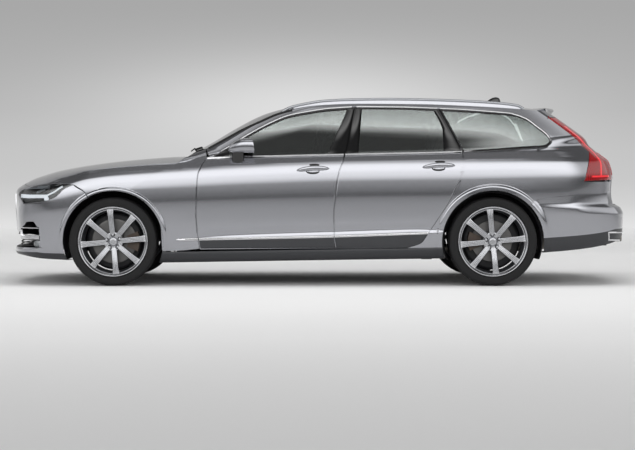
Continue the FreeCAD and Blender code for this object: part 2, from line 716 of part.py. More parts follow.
mirror_case = prism_z([
    (F(905), -855), (F(893), -940), (F(915), -1000), (F(960), -1009.5), (F(1050), -1009.5),
    (F(1080), -995), (F(1080), -855),
], 1025, 1143)
mirror_foot = prism_z([(F(920), -980), (F(912), -800), (F(1010), -800), (F(1000), -980)], 945, 1030)
door_mirror = main_solid(join(mirror_case, mirror_foot).cut(outer))
put("mirror_left", door_mirror)
put("mirror_right", mirrored(door_mirror))
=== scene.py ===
import math

import bmesh
import bpy
import numpy as np
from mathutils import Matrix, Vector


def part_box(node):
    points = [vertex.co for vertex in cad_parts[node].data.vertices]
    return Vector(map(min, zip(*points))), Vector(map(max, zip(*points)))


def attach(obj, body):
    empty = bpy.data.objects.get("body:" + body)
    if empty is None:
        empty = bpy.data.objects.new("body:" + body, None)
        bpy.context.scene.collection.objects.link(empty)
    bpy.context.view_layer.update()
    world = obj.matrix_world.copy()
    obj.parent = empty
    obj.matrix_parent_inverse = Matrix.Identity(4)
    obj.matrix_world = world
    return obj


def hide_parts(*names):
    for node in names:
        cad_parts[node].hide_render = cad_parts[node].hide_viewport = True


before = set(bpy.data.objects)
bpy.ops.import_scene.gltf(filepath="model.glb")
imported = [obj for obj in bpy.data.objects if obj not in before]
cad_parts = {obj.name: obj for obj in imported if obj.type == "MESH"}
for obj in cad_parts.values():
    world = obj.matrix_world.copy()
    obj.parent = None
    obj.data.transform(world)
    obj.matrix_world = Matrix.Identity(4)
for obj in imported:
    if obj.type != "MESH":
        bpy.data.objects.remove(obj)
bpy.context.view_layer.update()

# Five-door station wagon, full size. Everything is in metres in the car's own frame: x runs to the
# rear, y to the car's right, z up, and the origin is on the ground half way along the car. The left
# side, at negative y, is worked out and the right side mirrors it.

# ---------------------------------------------------------------- studio
# A seamless pale sweep of floor and wall, a wide soft ceiling of light and a long lens at door height.
# The room is dark at eye level, which draws the grey band along the doors.
lens_mm = 95.4
camera_place = (-0.1255, -13.93, 0.786)
lens_shift = (0.0228, -0.0641)
sweep_front, sweep_corner, sweep_radius, sweep_top, sweep_half = -14.6, 17.5, 3.0, 20.0, 45.0

# Floor colour over place across the floor, painted light and shade of the studio: darkest round
# and under the car, where it stands for the car's shade, and lighter further out. Columns: place,
# sRGB colour.
floor_painted_light = [(-14.6, "DEDEDE"), (-8.9, "E2E2E2"), (-7.2, "E6E6E6"), (-5.4, "EBEBEB"), (-3.4, "E8E8E8"),
    (-1.0, "DEDEDE"), (1.0, "D8D8D8"), (2.5, "E4E4E4"), (5.0, "F4F4F4")]
# Wall colour over height, seen as the wall's own glow: a painted gradient of the studio's light, darker
# upwards.
wall_painted_light = [(0.0, "E2E2E2"), (0.40, "D2D2D2"), (0.85, "C8C8C8"), (1.5, "C2C2C2"), (2.3, "B6B6B6"),
    (3.2, "AFAFAF"), (4.4, "A8A8A8")]


def linear(code):
    """Linear red, green, blue and alpha of an sRGB hex colour."""
    share = np.array([int(code[i:i + 2], 16) for i in (0, 2, 4)]) / 255.0
    rgb = np.where(share <= 0.04045, share / 12.92, ((share + 0.055) / 1.055) ** 2.4)
    return (*rgb.tolist(), 1.0)


def add(tree, kind, inputs=None, **settings):
    """One node. inputs gives a value or another node's output for each input, by name or number."""
    node = tree.nodes.new(kind)
    for key, value in settings.items():
        setattr(node, key, value)
    for key, value in (inputs or {}).items():
        if isinstance(value, bpy.types.NodeSocket):
            tree.links.new(value, node.inputs[key])
        else:
            node.inputs[key].default_value = value
    return node


def finish(name, colour=None, **sockets):
    """A material whose shader's own sockets say what is the same all over. Its colour is an sRGB code."""
    material = bpy.data.materials.new(name)
    material.use_nodes = True
    shader = material.node_tree.nodes["Principled BSDF"]
    if colour:
        sockets["Base_Color"] = linear(colour)
    for key, value in sockets.items():
        shader.inputs[key.replace("_", " ")].default_value = value
    return material


def reckon(tree, operation, first, second):
    """What one step of arithmetic in a material gives."""
    return add(tree, "ShaderNodeMath", {0: first, 1: second}, operation=operation).outputs[0]


def tones(tree, place, table):
    """Colour ramp over a table of (place, sRGB colour) rows."""
    low, high = table[0][0], table[-1][0]
    share = add(tree, "ShaderNodeMapRange", {"Value": place, "From Min": low, "From Max": high})
    ramp = add(tree, "ShaderNodeValToRGB", {"Fac": share.outputs[0]})
    for at, code in table[1:-1]:
        ramp.color_ramp.elements.new((at - low) / (high - low))
    for element, (at, code) in zip(ramp.color_ramp.elements, table):
        element.position = (at - low) / (high - low)
        element.color = linear(code)
    return ramp.outputs["Color"]


def grey(light):
    """sRGB byte of a share of full light."""
    share = 12.92 * light if light <= 0.0031308 else 1.055 * light ** (1 / 2.4) - 0.055
    return round(255 * share)


sweep_painted_light = finish("cyclorama_painted_light", Roughness=0.9, Specular_IOR_Level=0.0)
tree = sweep_painted_light.node_tree
shader = tree.nodes["Principled BSDF"]
place = add(tree, "ShaderNodeSeparateXYZ", {0: add(tree, "ShaderNodeTexCoord").outputs["Object"]}).outputs
floor_colour = tones(tree, place["Y"], floor_painted_light)
wall_colour = tones(tree, place["Z"], wall_painted_light)
# The wall glows behind the car: e to the minus square of the distance from the glow's middle.
glow_z, glow_wide, glow_tall, glow_share = 2.3, 4.2, 1.1, 0.5
across = reckon(tree, "POWER", reckon(tree, "DIVIDE", place["X"], glow_wide), 2.0)
up = reckon(tree, "DIVIDE", reckon(tree, "SUBTRACT", place["Z"], glow_z), glow_tall)
far_off = reckon(tree, "ADD", across, reckon(tree, "POWER", up, 2.0))
glow = reckon(tree, "POWER", math.e, reckon(tree, "MULTIPLY", far_off, -1.0))
glow = reckon(tree, "MULTIPLY", glow, glow_share)
glowing = add(tree, "ShaderNodeMix", {0: glow, 6: wall_colour, 7: linear("FFFFFF")}, data_type="RGBA")
tree.links.new(floor_colour, shader.inputs["Base Color"])
wall = add(tree, "ShaderNodeEmission", {"Color": glowing.outputs[2], "Strength": 1.0})
seen = add(tree, "ShaderNodeLightPath").outputs
direct = reckon(tree, "MAXIMUM", seen["Is Camera Ray"], seen["Is Glossy Ray"])
direct = reckon(tree, "MAXIMUM", direct, seen["Is Transmission Ray"])
far_wall = add(tree, "ShaderNodeMapRange", {"Value": place["Y"], "From Min": 6.0, "From Max": 17.0})
as_wall = reckon(tree, "MULTIPLY", direct, far_wall.outputs[0])
mixed = add(tree, "ShaderNodeMixShader", {0: as_wall, 1: shader.outputs[0], 2: wall.outputs[0]})
# From behind and from below the sweep isn't seen, so that it never stands before the car.
behind = add(tree, "ShaderNodeNewGeometry").outputs["Backfacing"]
unseen = reckon(tree, "MULTIPLY", behind, seen["Is Camera Ray"])
clear = add(tree, "ShaderNodeBsdfTransparent").outputs[0]
one_sided = add(tree, "ShaderNodeMixShader", {0: unseen, 1: mixed.outputs[0], 2: clear})
tree.links.new(one_sided.outputs[0], tree.nodes["Material Output"].inputs["Surface"])

turn = np.linspace(0.0, math.pi / 2, 17)
sweep_y = np.concatenate(([sweep_front, -9.0, 0.0, 4.0], sweep_corner + sweep_radius * np.sin(turn),
    [sweep_corner + sweep_radius] * 3))
sweep_z = np.concatenate(([0.0] * 4, sweep_radius * (1 - np.cos(turn)), [4.0, 8.0, sweep_top]))
sweep_mesh = bpy.data.meshes.new("studio_sweep")
rim = [[side, y, z] for side in (-sweep_half, sweep_half) for y, z in zip(sweep_y, sweep_z)]
steps = len(sweep_y)
sweep_mesh.from_pydata(rim, [], [[i, i + steps, i + steps + 1, i + 1] for i in range(steps - 1)])
sweep = bpy.data.objects.new("studio_sweep", sweep_mesh)
bpy.context.scene.collection.objects.link(sweep)
sweep_mesh.materials.append(sweep_painted_light)

camera = bpy.data.objects.new("camera", bpy.data.cameras.new("camera"))
bpy.context.scene.collection.objects.link(camera)
camera.location = camera_place
camera.rotation_euler = (math.pi / 2, 0.0, 0.0)
camera.data.lens, camera.data.sensor_width = lens_mm, 36.0
camera.data.shift_x, camera.data.shift_y = lens_shift
camera.data.clip_end = 200.0
bpy.context.scene.camera = camera
bpy.context.scene.view_settings.view_transform = "Standard"

# columns: name, place, size across and along, power in watts
ceiling_lamps = [
    ("ceiling_lamp", (0.0, -0.6, 5.2), (9.0, 3.2), 240.0),
    ("front_fill_lamp", (-6.5, -7.0, 4.2), (3.5, 2.5), 50.0),
    ("rear_fill_lamp", (6.5, -7.0, 4.2), (3.5, 2.5), 50.0),
]
for name, spot, (wide, deep), watts in ceiling_lamps:
    lamp = bpy.data.objects.new(name, bpy.data.lights.new(name, "AREA"))
    lamp.data.shape = "RECTANGLE"
    lamp.data.size, lamp.data.size_y, lamp.data.energy = wide, deep, watts
    lamp.location = spot
    lamp.visible_glossy = False
    aim = Vector((0.0, 0.0, 0.6)) - lamp.location
    lamp.rotation_euler = aim.to_track_quat("-Z", "Y").to_euler()
    bpy.context.scene.collection.objects.link(lamp)

room = bpy.data.worlds.new("studio_room")
bpy.context.scene.world = room
room.use_nodes = True
tree = room.node_tree
tree.nodes.clear()
upward = add(tree, "ShaderNodeSeparateXYZ",
    {0: add(tree, "ShaderNodeTexCoord").outputs["Generated"]}).outputs
# columns: height of the direction looked in, from straight down to straight up, and share of full light
room_tones = [
    (-1.0, 0.20), (-0.10, 0.10), (-0.04, 0.035), (0.0, 0.045), (0.03, 0.36), (0.08, 0.64), (0.12, 0.84),
        (0.19, 1.0), (0.35, 0.96),
    (0.50, 0.80), (0.60, 0.56), (0.69, 0.10), (0.912, 0.08), (0.935, 1.0), (0.952, 0.72), (0.975, 0.42),
        (1.0, 0.28)]
room_codes = [(at, "%02X%02X%02X" % (3 * (grey(share),))) for at, share in room_tones]
room_colour = tones(tree, upward["Z"], room_codes)
# The wide lamp bank stands along the car's left side; round the ends the room is dimmer.
flat_share = reckon(tree, "SUBTRACT", 1.0001, reckon(tree, "MULTIPLY", upward["Z"], upward["Z"]))
facing_bank = reckon(tree, "DIVIDE", upward["Y"], reckon(tree, "POWER", flat_share, 0.5))
bank = add(
    tree, "ShaderNodeMapRange",
    {"Value": facing_bank, "From Min": -0.72, "From Max": -0.95, "To Min": 1.1, "To Max": 2.5},
    interpolation_type="SMOOTHSTEP")
room_light = add(tree, "ShaderNodeBackground", {"Color": room_colour, "Strength": bank.outputs[0]})
room_wall = add(tree, "ShaderNodeBackground", {"Color": linear("BEBEBE"), "Strength": 1.0})
looked_at = add(tree, "ShaderNodeLightPath").outputs["Is Camera Ray"]
room_mix = add(tree, "ShaderNodeMixShader", {0: looked_at, 1: room_light.outputs[0],
    2: room_wall.outputs[0]})
add(tree, "ShaderNodeOutputWorld", {"Surface": room_mix.outputs[0]})

# ---------------------------------------------------------------- body form and front wings
# Pressed steel panels, painted in silver metallic lacquer: aluminium flakes under clear coat. The
# form is one half width for every place along and up the car, from the sill to the waist and from
# the waist to the roof, drawn in at nose and tail. The wings are bolted on along the bonnet's edge.
front_x = sum(corner.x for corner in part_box("front_rim_left")) / 2
rear_x = sum(corner.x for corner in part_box("rear_rim_left")) / 2
axle_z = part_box("front_tyre_left")[1].z / 2
half_width = 0.9395
panel_gap = 0.0034      # half the open joint between two panels
front_arch, rear_arch = 0.390, 0.395


def mottled(name, dark, light, scale, detail, texture="ShaderNodeTexNoise", **sockets):
    """A finish that runs between two sRGB colours, by a texture on Object coordinates."""
    material = finish(name, **sockets)
    tree = material.node_tree
    spot = add(tree, "ShaderNodeTexCoord").outputs["Object"]
    cloud = add(tree, texture, {"Vector": spot, "Scale": scale, "Detail": detail}).outputs["Fac"]
    mix = add(tree, "ShaderNodeMix", {0: cloud, 6: linear(dark), 7: linear(light)}, data_type="RGBA")
    tree.links.new(mix.outputs[2], tree.nodes["Principled BSDF"].inputs["Base Color"])
    return material


# Aluminium flakes lie flat in the base coat, so it shines broadly, and the clear coat mirrors sharply.
# Flakes are 0.03 mm; they are drawn in 4 mm clouds, the finest that shows at this distance.
silver_paint = mottled(
    "silver_metallic_lacquer", "98999E", "A2A3A8", 250.0, 2.0,
    Metallic=0.92, Roughness=0.11, Coat_Weight=1.0, Coat_Roughness=0.02, Coat_IOR=1.5)


def smooth(points):
    """Line through (place, value) rows: a cubic between neighbours, whose slope at each row is the
    harmonic mean of the slopes beside it, so that it never swings past them."""
    x, v = np.array(points, float).T
    run = np.diff(x)
    slope = np.diff(v) / run
    same = slope[:-1] * slope[1:] > 0
    total = np.where(same, slope[:-1] + slope[1:], 1.0)
    lean = np.concatenate((slope[:1], np.where(same, 2 * slope[:-1] * slope[1:] / total, 0.0),
        slope[-1:]))

    def at(place):
        place = np.asarray(place, float)
        i = np.clip(np.searchsorted(x, place) - 1, 0, len(x) - 2)
        t = (place - x[i]) / run[i]
        c = np.clip(t, 0.0, 1.0)
        bend = run[i] * (lean[i] * c * (1 - c) ** 2 - lean[i + 1] * c * c * (1 - c))
        past = (place - x[i] - c * run[i]) * np.where(t < 0, lean[i], lean[i + 1])
        return v[i] * (1 + 2 * c) * (1 - c) ** 2 + v[i + 1] * c * c * (3 - 2 * c) + bend + past

    return at


def along(points, count):
    """count points evenly spaced on a smooth line through points. A point given twice is a corner."""
    rows = np.array(points, float)
    gaps = np.linalg.norm(np.diff(rows, axis=0), axis=1)
    parts = np.split(rows, np.flatnonzero(gaps < 1e-9) + 1)
    chords = [np.concatenate(([0.0], np.cumsum(np.linalg.norm(np.diff(part, axis=0), axis=1))))
        for part in parts]
    ends = np.cumsum([chord[-1] for chord in chords])
    marks = np.round(np.concatenate(([0.0], ends)) / ends[-1] * (count - 1)).astype(int)
    out = []
    for part, chord, share in zip(parts, chords, np.maximum(np.diff(marks), 1)):
        lines = [smooth(np.stack([chord, part[:, k]], 1)) for k in range(rows.shape[1])]
        fine = np.linspace(0.0, chord[-1], 500)
        path = np.stack([line(fine) for line in lines], 1)
        length = np.concatenate(([0.0], np.cumsum(np.linalg.norm(np.diff(path, axis=0), axis=1))))
        even = np.interp(np.linspace(0.0, length[-1], share + 1), length, fine)
        out.append(np.stack([line(even) for line in lines], 1)[(1 if out else 0):])
    return np.concatenate(out)


def placed(*coordinates):
    """Points from their coordinates, each of which is spread over the rows and columns of the others."""
    return np.stack(np.broadcast_arrays(*coordinates), -1)


def arc(x, z, radius, start, end, count=60):
    """Points on a circle about (x, z), from one angle to another in degrees above the rearward axis."""
    angle = np.radians(np.linspace(start, end, count))
    return np.stack([x + radius * np.cos(angle), z + radius * np.sin(angle)], 1)


# Lines along the side, height over place.
under_edge = smooth([(-2.47, 0.255), (-2.29, 0.222), (-2.138, 0.201), (-1.18, 0.183), (0.92, 0.208),
    (1.744, 0.255), (2.305, 0.329), (2.47, 0.41)])
shoulder = smooth([(-2.47, 0.70), (-2.2, 0.745), (-2.0, 0.80), (-1.77, 0.863), (-1.305, 0.900),
    (-0.996, 0.920), (-0.61, 0.943), (0.165, 0.974), (1.09, 0.986), (2.09, 0.992), (2.47, 0.992)])
belt = smooth([(-2.47, 0.745), (-2.077, 0.792), (-1.931, 0.850), (-1.776, 0.895), (-1.534, 0.922),
    (-1.292, 0.942), (-1.107, 0.955), (-0.844, 0.984), (0.185, 1.010), (1.112, 1.033), (1.751, 1.072),
    (2.47, 1.10)])
strip_line = smooth([(-1.10, 0.357), (0.118, 0.383), (0.82, 0.408), (1.2, 0.42)])
sill_line = smooth([(-1.25, 0.262), (0.316, 0.286), (0.82, 0.293), (1.0, 0.296)])
scallop_top = smooth([(-1.1, 0.372), (-0.95, 0.398), (-0.8, 0.432), (-0.4, 0.455), (0.118, 0.474),
    (0.5, 0.486), (0.82, 0.480), (1.1, 0.46)])
scallop_depth = smooth([(-1.12, 0.0), (-0.95, 0.004), (-0.5, 0.010), (0.1, 0.013), (0.7, 0.013),
    (0.9, 0.007), (1.05, 0.0)])
nose_line = smooth([(0.15, -2.40), (0.215, -2.442), (0.255, -2.474), (0.275, -2.474), (0.31, -2.452),
    (0.36, -2.447), (0.45, -2.453), (0.60, -2.464), (0.72, -2.4685), (0.745, -2.462), (0.777, -2.424),
    (0.80, -2.383), (0.832, -2.326), (0.90, -2.20)])
tail_line = smooth([(0.15, 2.38), (0.279, 2.425), (0.385, 2.455), (0.545, 2.462), (0.60, 2.440),
    (0.64, 2.385), (0.72, 2.372), (0.85, 2.378), (0.965, 2.352), (1.01, 2.305), (1.12, 2.175),
    (1.246, 2.018), (1.351, 1.883), (1.40, 1.82), (1.47, 1.74)])
screen_line = smooth([(0.90, -1.26), (1.030, -1.050), (1.120, -0.881), (1.246, -0.669), (1.352, -0.459),
    (1.400, -0.300), (1.430, -0.150), (1.47, 0.0)])

# Inset of the side from the greatest half width, over the share of the height from underside to
# shoulder, and above the waist over the share of the height from the waist to 1.4 m.
section = smooth([(-0.08, 0.125), (0.0, 0.084), (0.11, 0.048), (0.245, 0.028), (0.45, 0.0135),
    (0.68, 0.007), (0.79, 0.0074), (0.87, 0.0100), (0.94, 0.0155), (1.0, 0.0300)])
tumble = smooth([(-0.2, 0.040), (0.0, 0.052), (0.06, 0.066), (0.2, 0.0988), (0.35, 0.1339), (0.5, 0.1702),
    (0.65, 0.2085), (0.8, 0.2489), (0.9, 0.2770), (1.0, 0.3063), (1.1, 0.345), (1.26, 0.42), (1.6, 0.60)])
# Plan outlines of nose and tail, from the centre line to the side: distance from the tip and share
# of the half width, evenly numbered from 0 to 1.
nose_shape = [(0.0, 0.0), (0.026, 0.35), (0.080, 0.68), (0.124, 0.80), (0.172, 0.872), (0.255, 0.932),
    (0.402, 0.980), (0.65, 0.997), (1.0, 1.0)]
tail_shape = [(0.0, 0.0), (0.014, 0.35), (0.056, 0.68), (0.105, 0.80), (0.165, 0.872), (0.270, 0.932),
    (0.455, 0.980), (0.75, 0.997), (1.1, 1.0)]
screen_share = smooth([(-0.05, 0.86), (0.10, 0.925), (0.165, 0.965), (0.27, 0.990), (0.6, 1.0),
    (3.0, 1.0)])
window_share = smooth([(0.0, 0.60), (0.07, 0.88), (0.135, 0.955), (0.33, 0.990), (0.7, 1.0), (3.0, 1.0)])


def plan(shape):
    """Distance from the tip and share of the half width as smooth lines over 0 to 1, and samples of both."""
    number = np.linspace(0.0, 1.0, len(shape))
    back, share = [smooth(np.stack([number, np.array(shape)[:, k]], 1)) for k in (0, 1)]
    fine = np.linspace(0.0, 1.0, 2001)
    return back, share, fine, back(fine), share(fine)


nose_back, nose_share, nose_fine, nose_backs, nose_shares = plan(nose_shape)
tail_back, tail_share, tail_fine, tail_backs, tail_shares = plan(tail_shape)


def flare(x, z, axle_x, inner, outer, height):
    """Arch lip: a raised round band that rises over its outer 45 percent as 1 - (1 - s)^2."""
    share = np.clip((outer - np.hypot(x - axle_x, z - axle_z)) / (outer - inner) / 0.45, 0.0, 1.0)
    return height * (1 - (1 - share) ** 2)


def lower_half(x, z):
    """Half width below the waist, before nose and tail draw it in: the section's inset, with the
    hollow above the door strip (a half sine across it) and the arch lips."""
    low, high = under_edge(x), shoulder(x)
    inset = section(np.minimum((z - low) / (high - low), 1.0))
    inset = inset + 0.58 * np.clip(z - high, 0.0, 0.058) + 0.2 * np.maximum(z - high - 0.058, 0.0)
    hollow = np.clip((z - strip_line(x)) / (scallop_top(x) - strip_line(x)), 0.0, 1.0)
    inset = inset + np.clip(scallop_depth(x), 0.0,
        1.0) * np.sin(math.pi * hollow) * (x > -1.15) * (x < 1.1)
    lips = flare(x, z, front_x, front_arch, 0.421, 0.009) + flare(x, z, rear_x, rear_arch, 0.442, 0.010)
    return half_width - inset + lips


def lower(x, z):
    """Half width below the waist, with nose and tail drawn in."""
    nose = np.interp(x - nose_line(z), nose_backs, nose_shares)
    tail = np.interp(tail_line(z) - x, tail_backs, tail_shares)
    return lower_half(x, z) * nose * tail


def upper(x, z):
    """Half width of the glass and window frames above the waist."""
    waist = belt(x)
    width = half_width - tumble((z - waist) / (1.40 - waist))
    return width * screen_share(x - screen_line(z)) * window_share(tail_line(z) - x)


def side(x, z):
    """Half width of the painted body: the lower form turns into the upper one in 90 mm above the waist."""
    turn = np.clip((z - belt(x)) / 0.09, 0.0, 1.0)
    turn = turn * turn * (3 - 2 * turn)
    return lower(x, z) * (1 - turn) + upper(x, z) * turn


def unit(rows):
    """Directions of length one."""
    return rows / np.maximum(np.linalg.norm(rows, axis=-1, keepdims=True), 1e-12)


def patch(low, high, left, right):
    """Coons patch: the blend of the low and high lines plus that of the left and right lines, less
    that of their four corners."""
    u = np.linspace(0.0, 1.0, len(low))[:, None, None]
    v = np.linspace(0.0, 1.0, len(left))[None, :, None]
    low, high, left, right = low[:, None], high[:, None], left[None], right[None]
    corners = (1 - u) * ((1 - v) * low[:1] + v * high[:1]) + u * ((1 - v) * low[-1:] + v * high[-1:])
    return (1 - v) * low + v * high + (1 - u) * left + u * right - corners


def lifted(flat, surface=side, proud=0.0):
    """Side view points (x, z) laid on the left side's surface."""
    x, z = flat[..., 0], flat[..., 1]
    return placed(x, -surface(x, z) - proud, z)


def facing_out(grid, about=(0.0, 0.0, 0.6)):
    """Unit normals of a grid of points, turned away from a point inside the car."""
    normal = unit(np.cross(np.gradient(grid, axis=0), np.gradient(grid, axis=1)))
    return normal * (1.0 if np.sum(normal * (grid - about)) > 0 else -1.0)


def hemmed(grid, edges="lrbt", gap=panel_gap, bend=0.0022, depth=0.016, about=(0.0, 0.0, 0.6)):
    """A sheet with its named edges drawn in by the gap, rounded over and turned inwards."""
    for axis, names in ((0, "lr"), (1, "bt")):
        for name in names:
            if name not in edges:
                continue
            rows = np.moveaxis(grid, axis, 0)
            inward = -np.moveaxis(facing_out(grid, about), axis, 0)
            if name in "rt":
                rows, inward = rows[::-1], inward[::-1]
            out = unit(rows[0] - rows[1])
            edge, inner = rows[0] - out * (gap + bend), inward[1]
            turned = [edge + out * bend + inner * depth, edge + out * bend + inner * bend,
                      edge + out * bend * 0.7 + inner * bend * 0.3, edge, edge - out * bend * 2]
            rows = np.concatenate([np.stack(turned), rows[1:]])
            if name in "rt":
                rows = rows[::-1]
            grid = np.moveaxis(rows, 0, axis)
    return grid


def piece(name, grids, material, body, slot, facing=1.0, about=(0.0, 0.0, 0.6), sharp=40.0):
    """One mesh of sheets, each a grid of points, whose faces look away from a point, or to it where
    facing is -1. The point is the left side's, and a sheet on the right takes its mirror image. A
    closed sheet faces outwards whatever the point is. Seams and poles are merged."""
    points, faces, start = [], [], 0
    for grid in grids:
        index = np.arange(grid.shape[0] * grid.shape[1]).reshape(grid.shape[:2])
        quads = np.stack([index[:-1, :-1], index[1:, :-1], index[1:, 1:], index[:-1, 1:]],
            -1).reshape(-1, 4)
        flat = grid.reshape(-1, 3)
        a, b, c, d = (flat[quads[:, k]] for k in range(4))
        focus = np.array(about) * (1.0, -1.0 if grid[..., 1].mean() > 1e-6 else 1.0, 1.0)
        if facing * np.sum(np.cross(c - a, d - b) * ((a + b + c + d) / 4 - focus)) < 0:
            quads = quads[:, ::-1]
        points.append(flat)
        faces.append(quads + start)
        start += len(flat)
    mesh = bpy.data.meshes.new(name)
    mesh.from_pydata(np.concatenate(points).tolist(), [], np.concatenate(faces).tolist())
    shape = bmesh.new()
    shape.from_mesh(mesh)
    bmesh.ops.remove_doubles(shape, verts=shape.verts, dist=2e-5)
    shape.to_mesh(mesh)
    shape.free()
    mesh.polygons.foreach_set("use_smooth", np.ones(len(mesh.polygons), bool))
    mesh.set_sharp_from_angle(angle=math.radians(sharp))
    made = bpy.data.objects.new(name, mesh)
    bpy.context.scene.collection.objects.link(made)
    mesh.materials.append(material)
    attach(made, body)
    return made


def both(name, grids, material, bodies, slot, **how):
    """The same piece on both sides: on one body as one mesh, or on a left and a right body as two."""
    if isinstance(bodies, str):
        return [piece(name, grids + [grid * (1, -1, 1) for grid in grids], material, bodies, slot, **how)]
    pair = zip(("left", "right"), (1, -1), bodies)
    return [piece(f"{name}_{hand}", [grid * (1, way, 1) for grid in grids], material, body, slot, **how)
            for hand, way, body in pair]


def level(line, start, end, count=40):
    """Points along a line of height over place, from one place to another."""
    places = np.linspace(start, end, count)
    return np.stack([places, line(places)], 1)


def upright(line, start, end, count=40):
    """Points along a line of place over height, from one height to another."""
    heights = np.linspace(start, end, count)
    return np.stack([line(heights), heights], 1)


# Edges of the panels on the side, place and height; then place over height.
wing_lead = [(-1.814, 0.722), (-1.902, 0.781), (-1.902, 0.781), (-2.011, 0.789), (-2.077, 0.789)]
bonnet_edge = [(-2.077, 0.789), (-2.018, 0.819), (-1.931, 0.850), (-1.776, 0.895), (-1.534, 0.922),
    (-1.292, 0.942), (-1.107, 0.952)]
wing_tail = [(-1.107, 0.952), (-1.035, 0.998), (-1.035, 0.998), (-0.881, 1.064)]
door_lead = smooth([(0.284, -0.922), (0.410, -0.940), (0.597, -0.950), (0.716, -0.946), (0.858, -0.938),
    (0.928, -0.915), (0.957, -0.897), (0.988, -0.868)])
middle_cut = smooth([(0.292, 0.130), (0.410, 0.113), (0.557, 0.112), (0.716, 0.127), (0.876, 0.154),
    (1.0105, 0.196), (1.387, 0.283)])
rear_cut = smooth([(0.293, 0.684), (0.329, 0.790), (0.390, 0.835), (0.525, 0.925), (0.645, 1.001),
    (0.795, 1.076), (0.886, 1.121), (0.961, 1.132), (1.033, 1.112)])
lead_foot, lead_strip, lead_top = 0.284, 0.360, 0.982
middle_foot, middle_strip, middle_top = 0.292, 0.383, 1.0105
rear_foot, rear_strip, rear_top = 0.293, 0.409, 1.033

wing_arc = arc(front_x, axle_z, front_arch, 120.0, -12.0)
wing_low = along(np.concatenate((wing_arc, wing_arc[-1:],
    [(-1.07, 0.268), (door_lead(lead_foot), lead_foot)])), 200)
wing_high = along(bonnet_edge + wing_tail, 200)
wing_left = along([wing_arc[0]] + wing_lead, 64)
wing_right = along(np.concatenate((upright(door_lead, lead_foot, 0.988),
    [(door_lead(0.988), 0.988), (-0.881, 1.064)])), 64)
wing = lifted(patch(wing_low, wing_high, wing_left, wing_right))
wings = both("wing_skins", [hemmed(wing)], silver_paint, "body", "body_paint")
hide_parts("front_wings")

# ---------------------------------------------------------------- doors
# Each door is a pressed skin with a rolled edge, a dark lower panel under a bright strip, whose
# dark is painted shade, an inner box with its trim, and a frame of gloss black round the glass. The
# body's side carries a flange with a rubber seal round each opening.
# Inner box of a door: rows of inset from the door's outline and depth under its skin.
box_rows = [(0.007, 0.004), (0.010, 0.018), (0.036, 0.020), (0.040, 0.085), (0.048, 0.096)]
strip_end = 0.0048      # the bright strip stops this far short of the door's edges
glass_inset = 0.006

# Dark satin lacquer on the lower body: its charcoal is partly painted shade, on doors and sills.
dark_lacquer_and_painted_shade = finish("charcoal_lacquer_and_painted_shade", "333437", Metallic=0.25, Roughness=0.40,
    Coat_Weight=0.15, Coat_Roughness=0.12)
# Gloss black acrylic on the pillars: a deep black mirror.
gloss_black = finish("gloss_black_acrylic", "050506", Roughness=0.05, Coat_Weight=0.4,
    Coat_Roughness=0.02)
# Tinted float glass: clear, with a grey green cast that darkens the cabin.
tinted_glass = finish("tinted_float_glass", "AEBBB6", Roughness=0.0, IOR=1.5, Transmission_Weight=1.0,
    Coat_Weight=1.0, Coat_Roughness=0.0, Coat_IOR=1.8)
# Polished aluminium trim with a clear anodised skin.
bright_trim = finish("polished_aluminium_trim", "E6E6E8", Metallic=1.0, Roughness=0.16)
# Soft-touch black plastic; its fine grain is not drawn.
cabin_plastic = finish("grained_black_polypropylene", "1B1B1D", Roughness=0.62)
# Black EPDM rubber seals.
seal_rubber = finish("black_epdm_rubber", "101011", Roughness=0.75)


def inward(loop, inset):
    """A closed side view outline of points in order, moved inwards by its own normals."""
    run = unit(np.roll(loop, -1, 0) - np.roll(loop, 1, 0))
    normal = np.stack([-run[:, 1], run[:, 0]], 1)
    turn = np.sum(loop[:, 0] * np.roll(loop[:, 1], -1) - loop[:, 1] * np.roll(loop[:, 0], -1))
    return loop + normal * inset * (1 if turn > 0 else -1)


def closed_loop(*sides):
    """One closed outline from a patch's low, right, high and left sides, all run rearwards or upwards."""
    low, right, high, left = sides
    return np.concatenate((low[:-1], right[:-1], high[::-1][:-1], left[::-1][:-1]))


def stepped(loop, rows, surface=side, filled=True):
    """Rings from one closed outline, each (inset, depth under the surface), closed at the end by
    rings that shrink to the middle."""
    rings = [lifted(inward(loop, inset), surface, -depth) for inset, depth in rows]
    if filled:
        middle = rings[-1].mean(0)
        rings += [middle + (rings[-1] - middle) * share for share in (0.85, 0.6, 0.3, 0.0)]
    grid = np.stack(rings, 1)
    return np.concatenate((grid, grid[:1]), 0)


def shares(count):
    """Even shares from 0 to 1 as a column."""
    return np.linspace(0.0, 1.0, count)[:, None]


def capped(grid):
    """Rings closed at both ends by a point in the middle of the end ring."""
    ends = [grid[k:k + 1].mean(1, keepdims=True) + 0 * grid[:1] for k in (0, len(grid) - 1)]
    return np.concatenate((ends[0], grid, ends[1]))


def swept(path, profile, surface=side):
    """A moulding along a side view path: each (across, proud) row of a closed profile is carried
    along it, and its ends are closed."""
    run = unit(np.gradient(path, axis=0))
    normal = np.stack([-run[:, 1], run[:, 0]], 1)
    rows = []
    for across, proud in profile + profile[:1]:
        rows.append(lifted(path + normal * across, surface) - (0.0, proud, 0.0))
    return capped(np.stack(rows, 1))


chrome_bar = [(-0.0075, -0.004), (-0.0075, 0.0005), (-0.005, 0.0045), (0.0, 0.0058), (0.005, 0.0045),
    (0.0075, 0.0005), (0.0075, -0.004)]
strip_bar = [(-0.011, -0.004), (-0.011, 0.002), (-0.008, 0.0065), (0.0, 0.0085), (0.008, 0.0065),
    (0.011, 0.002), (0.011, -0.004)]

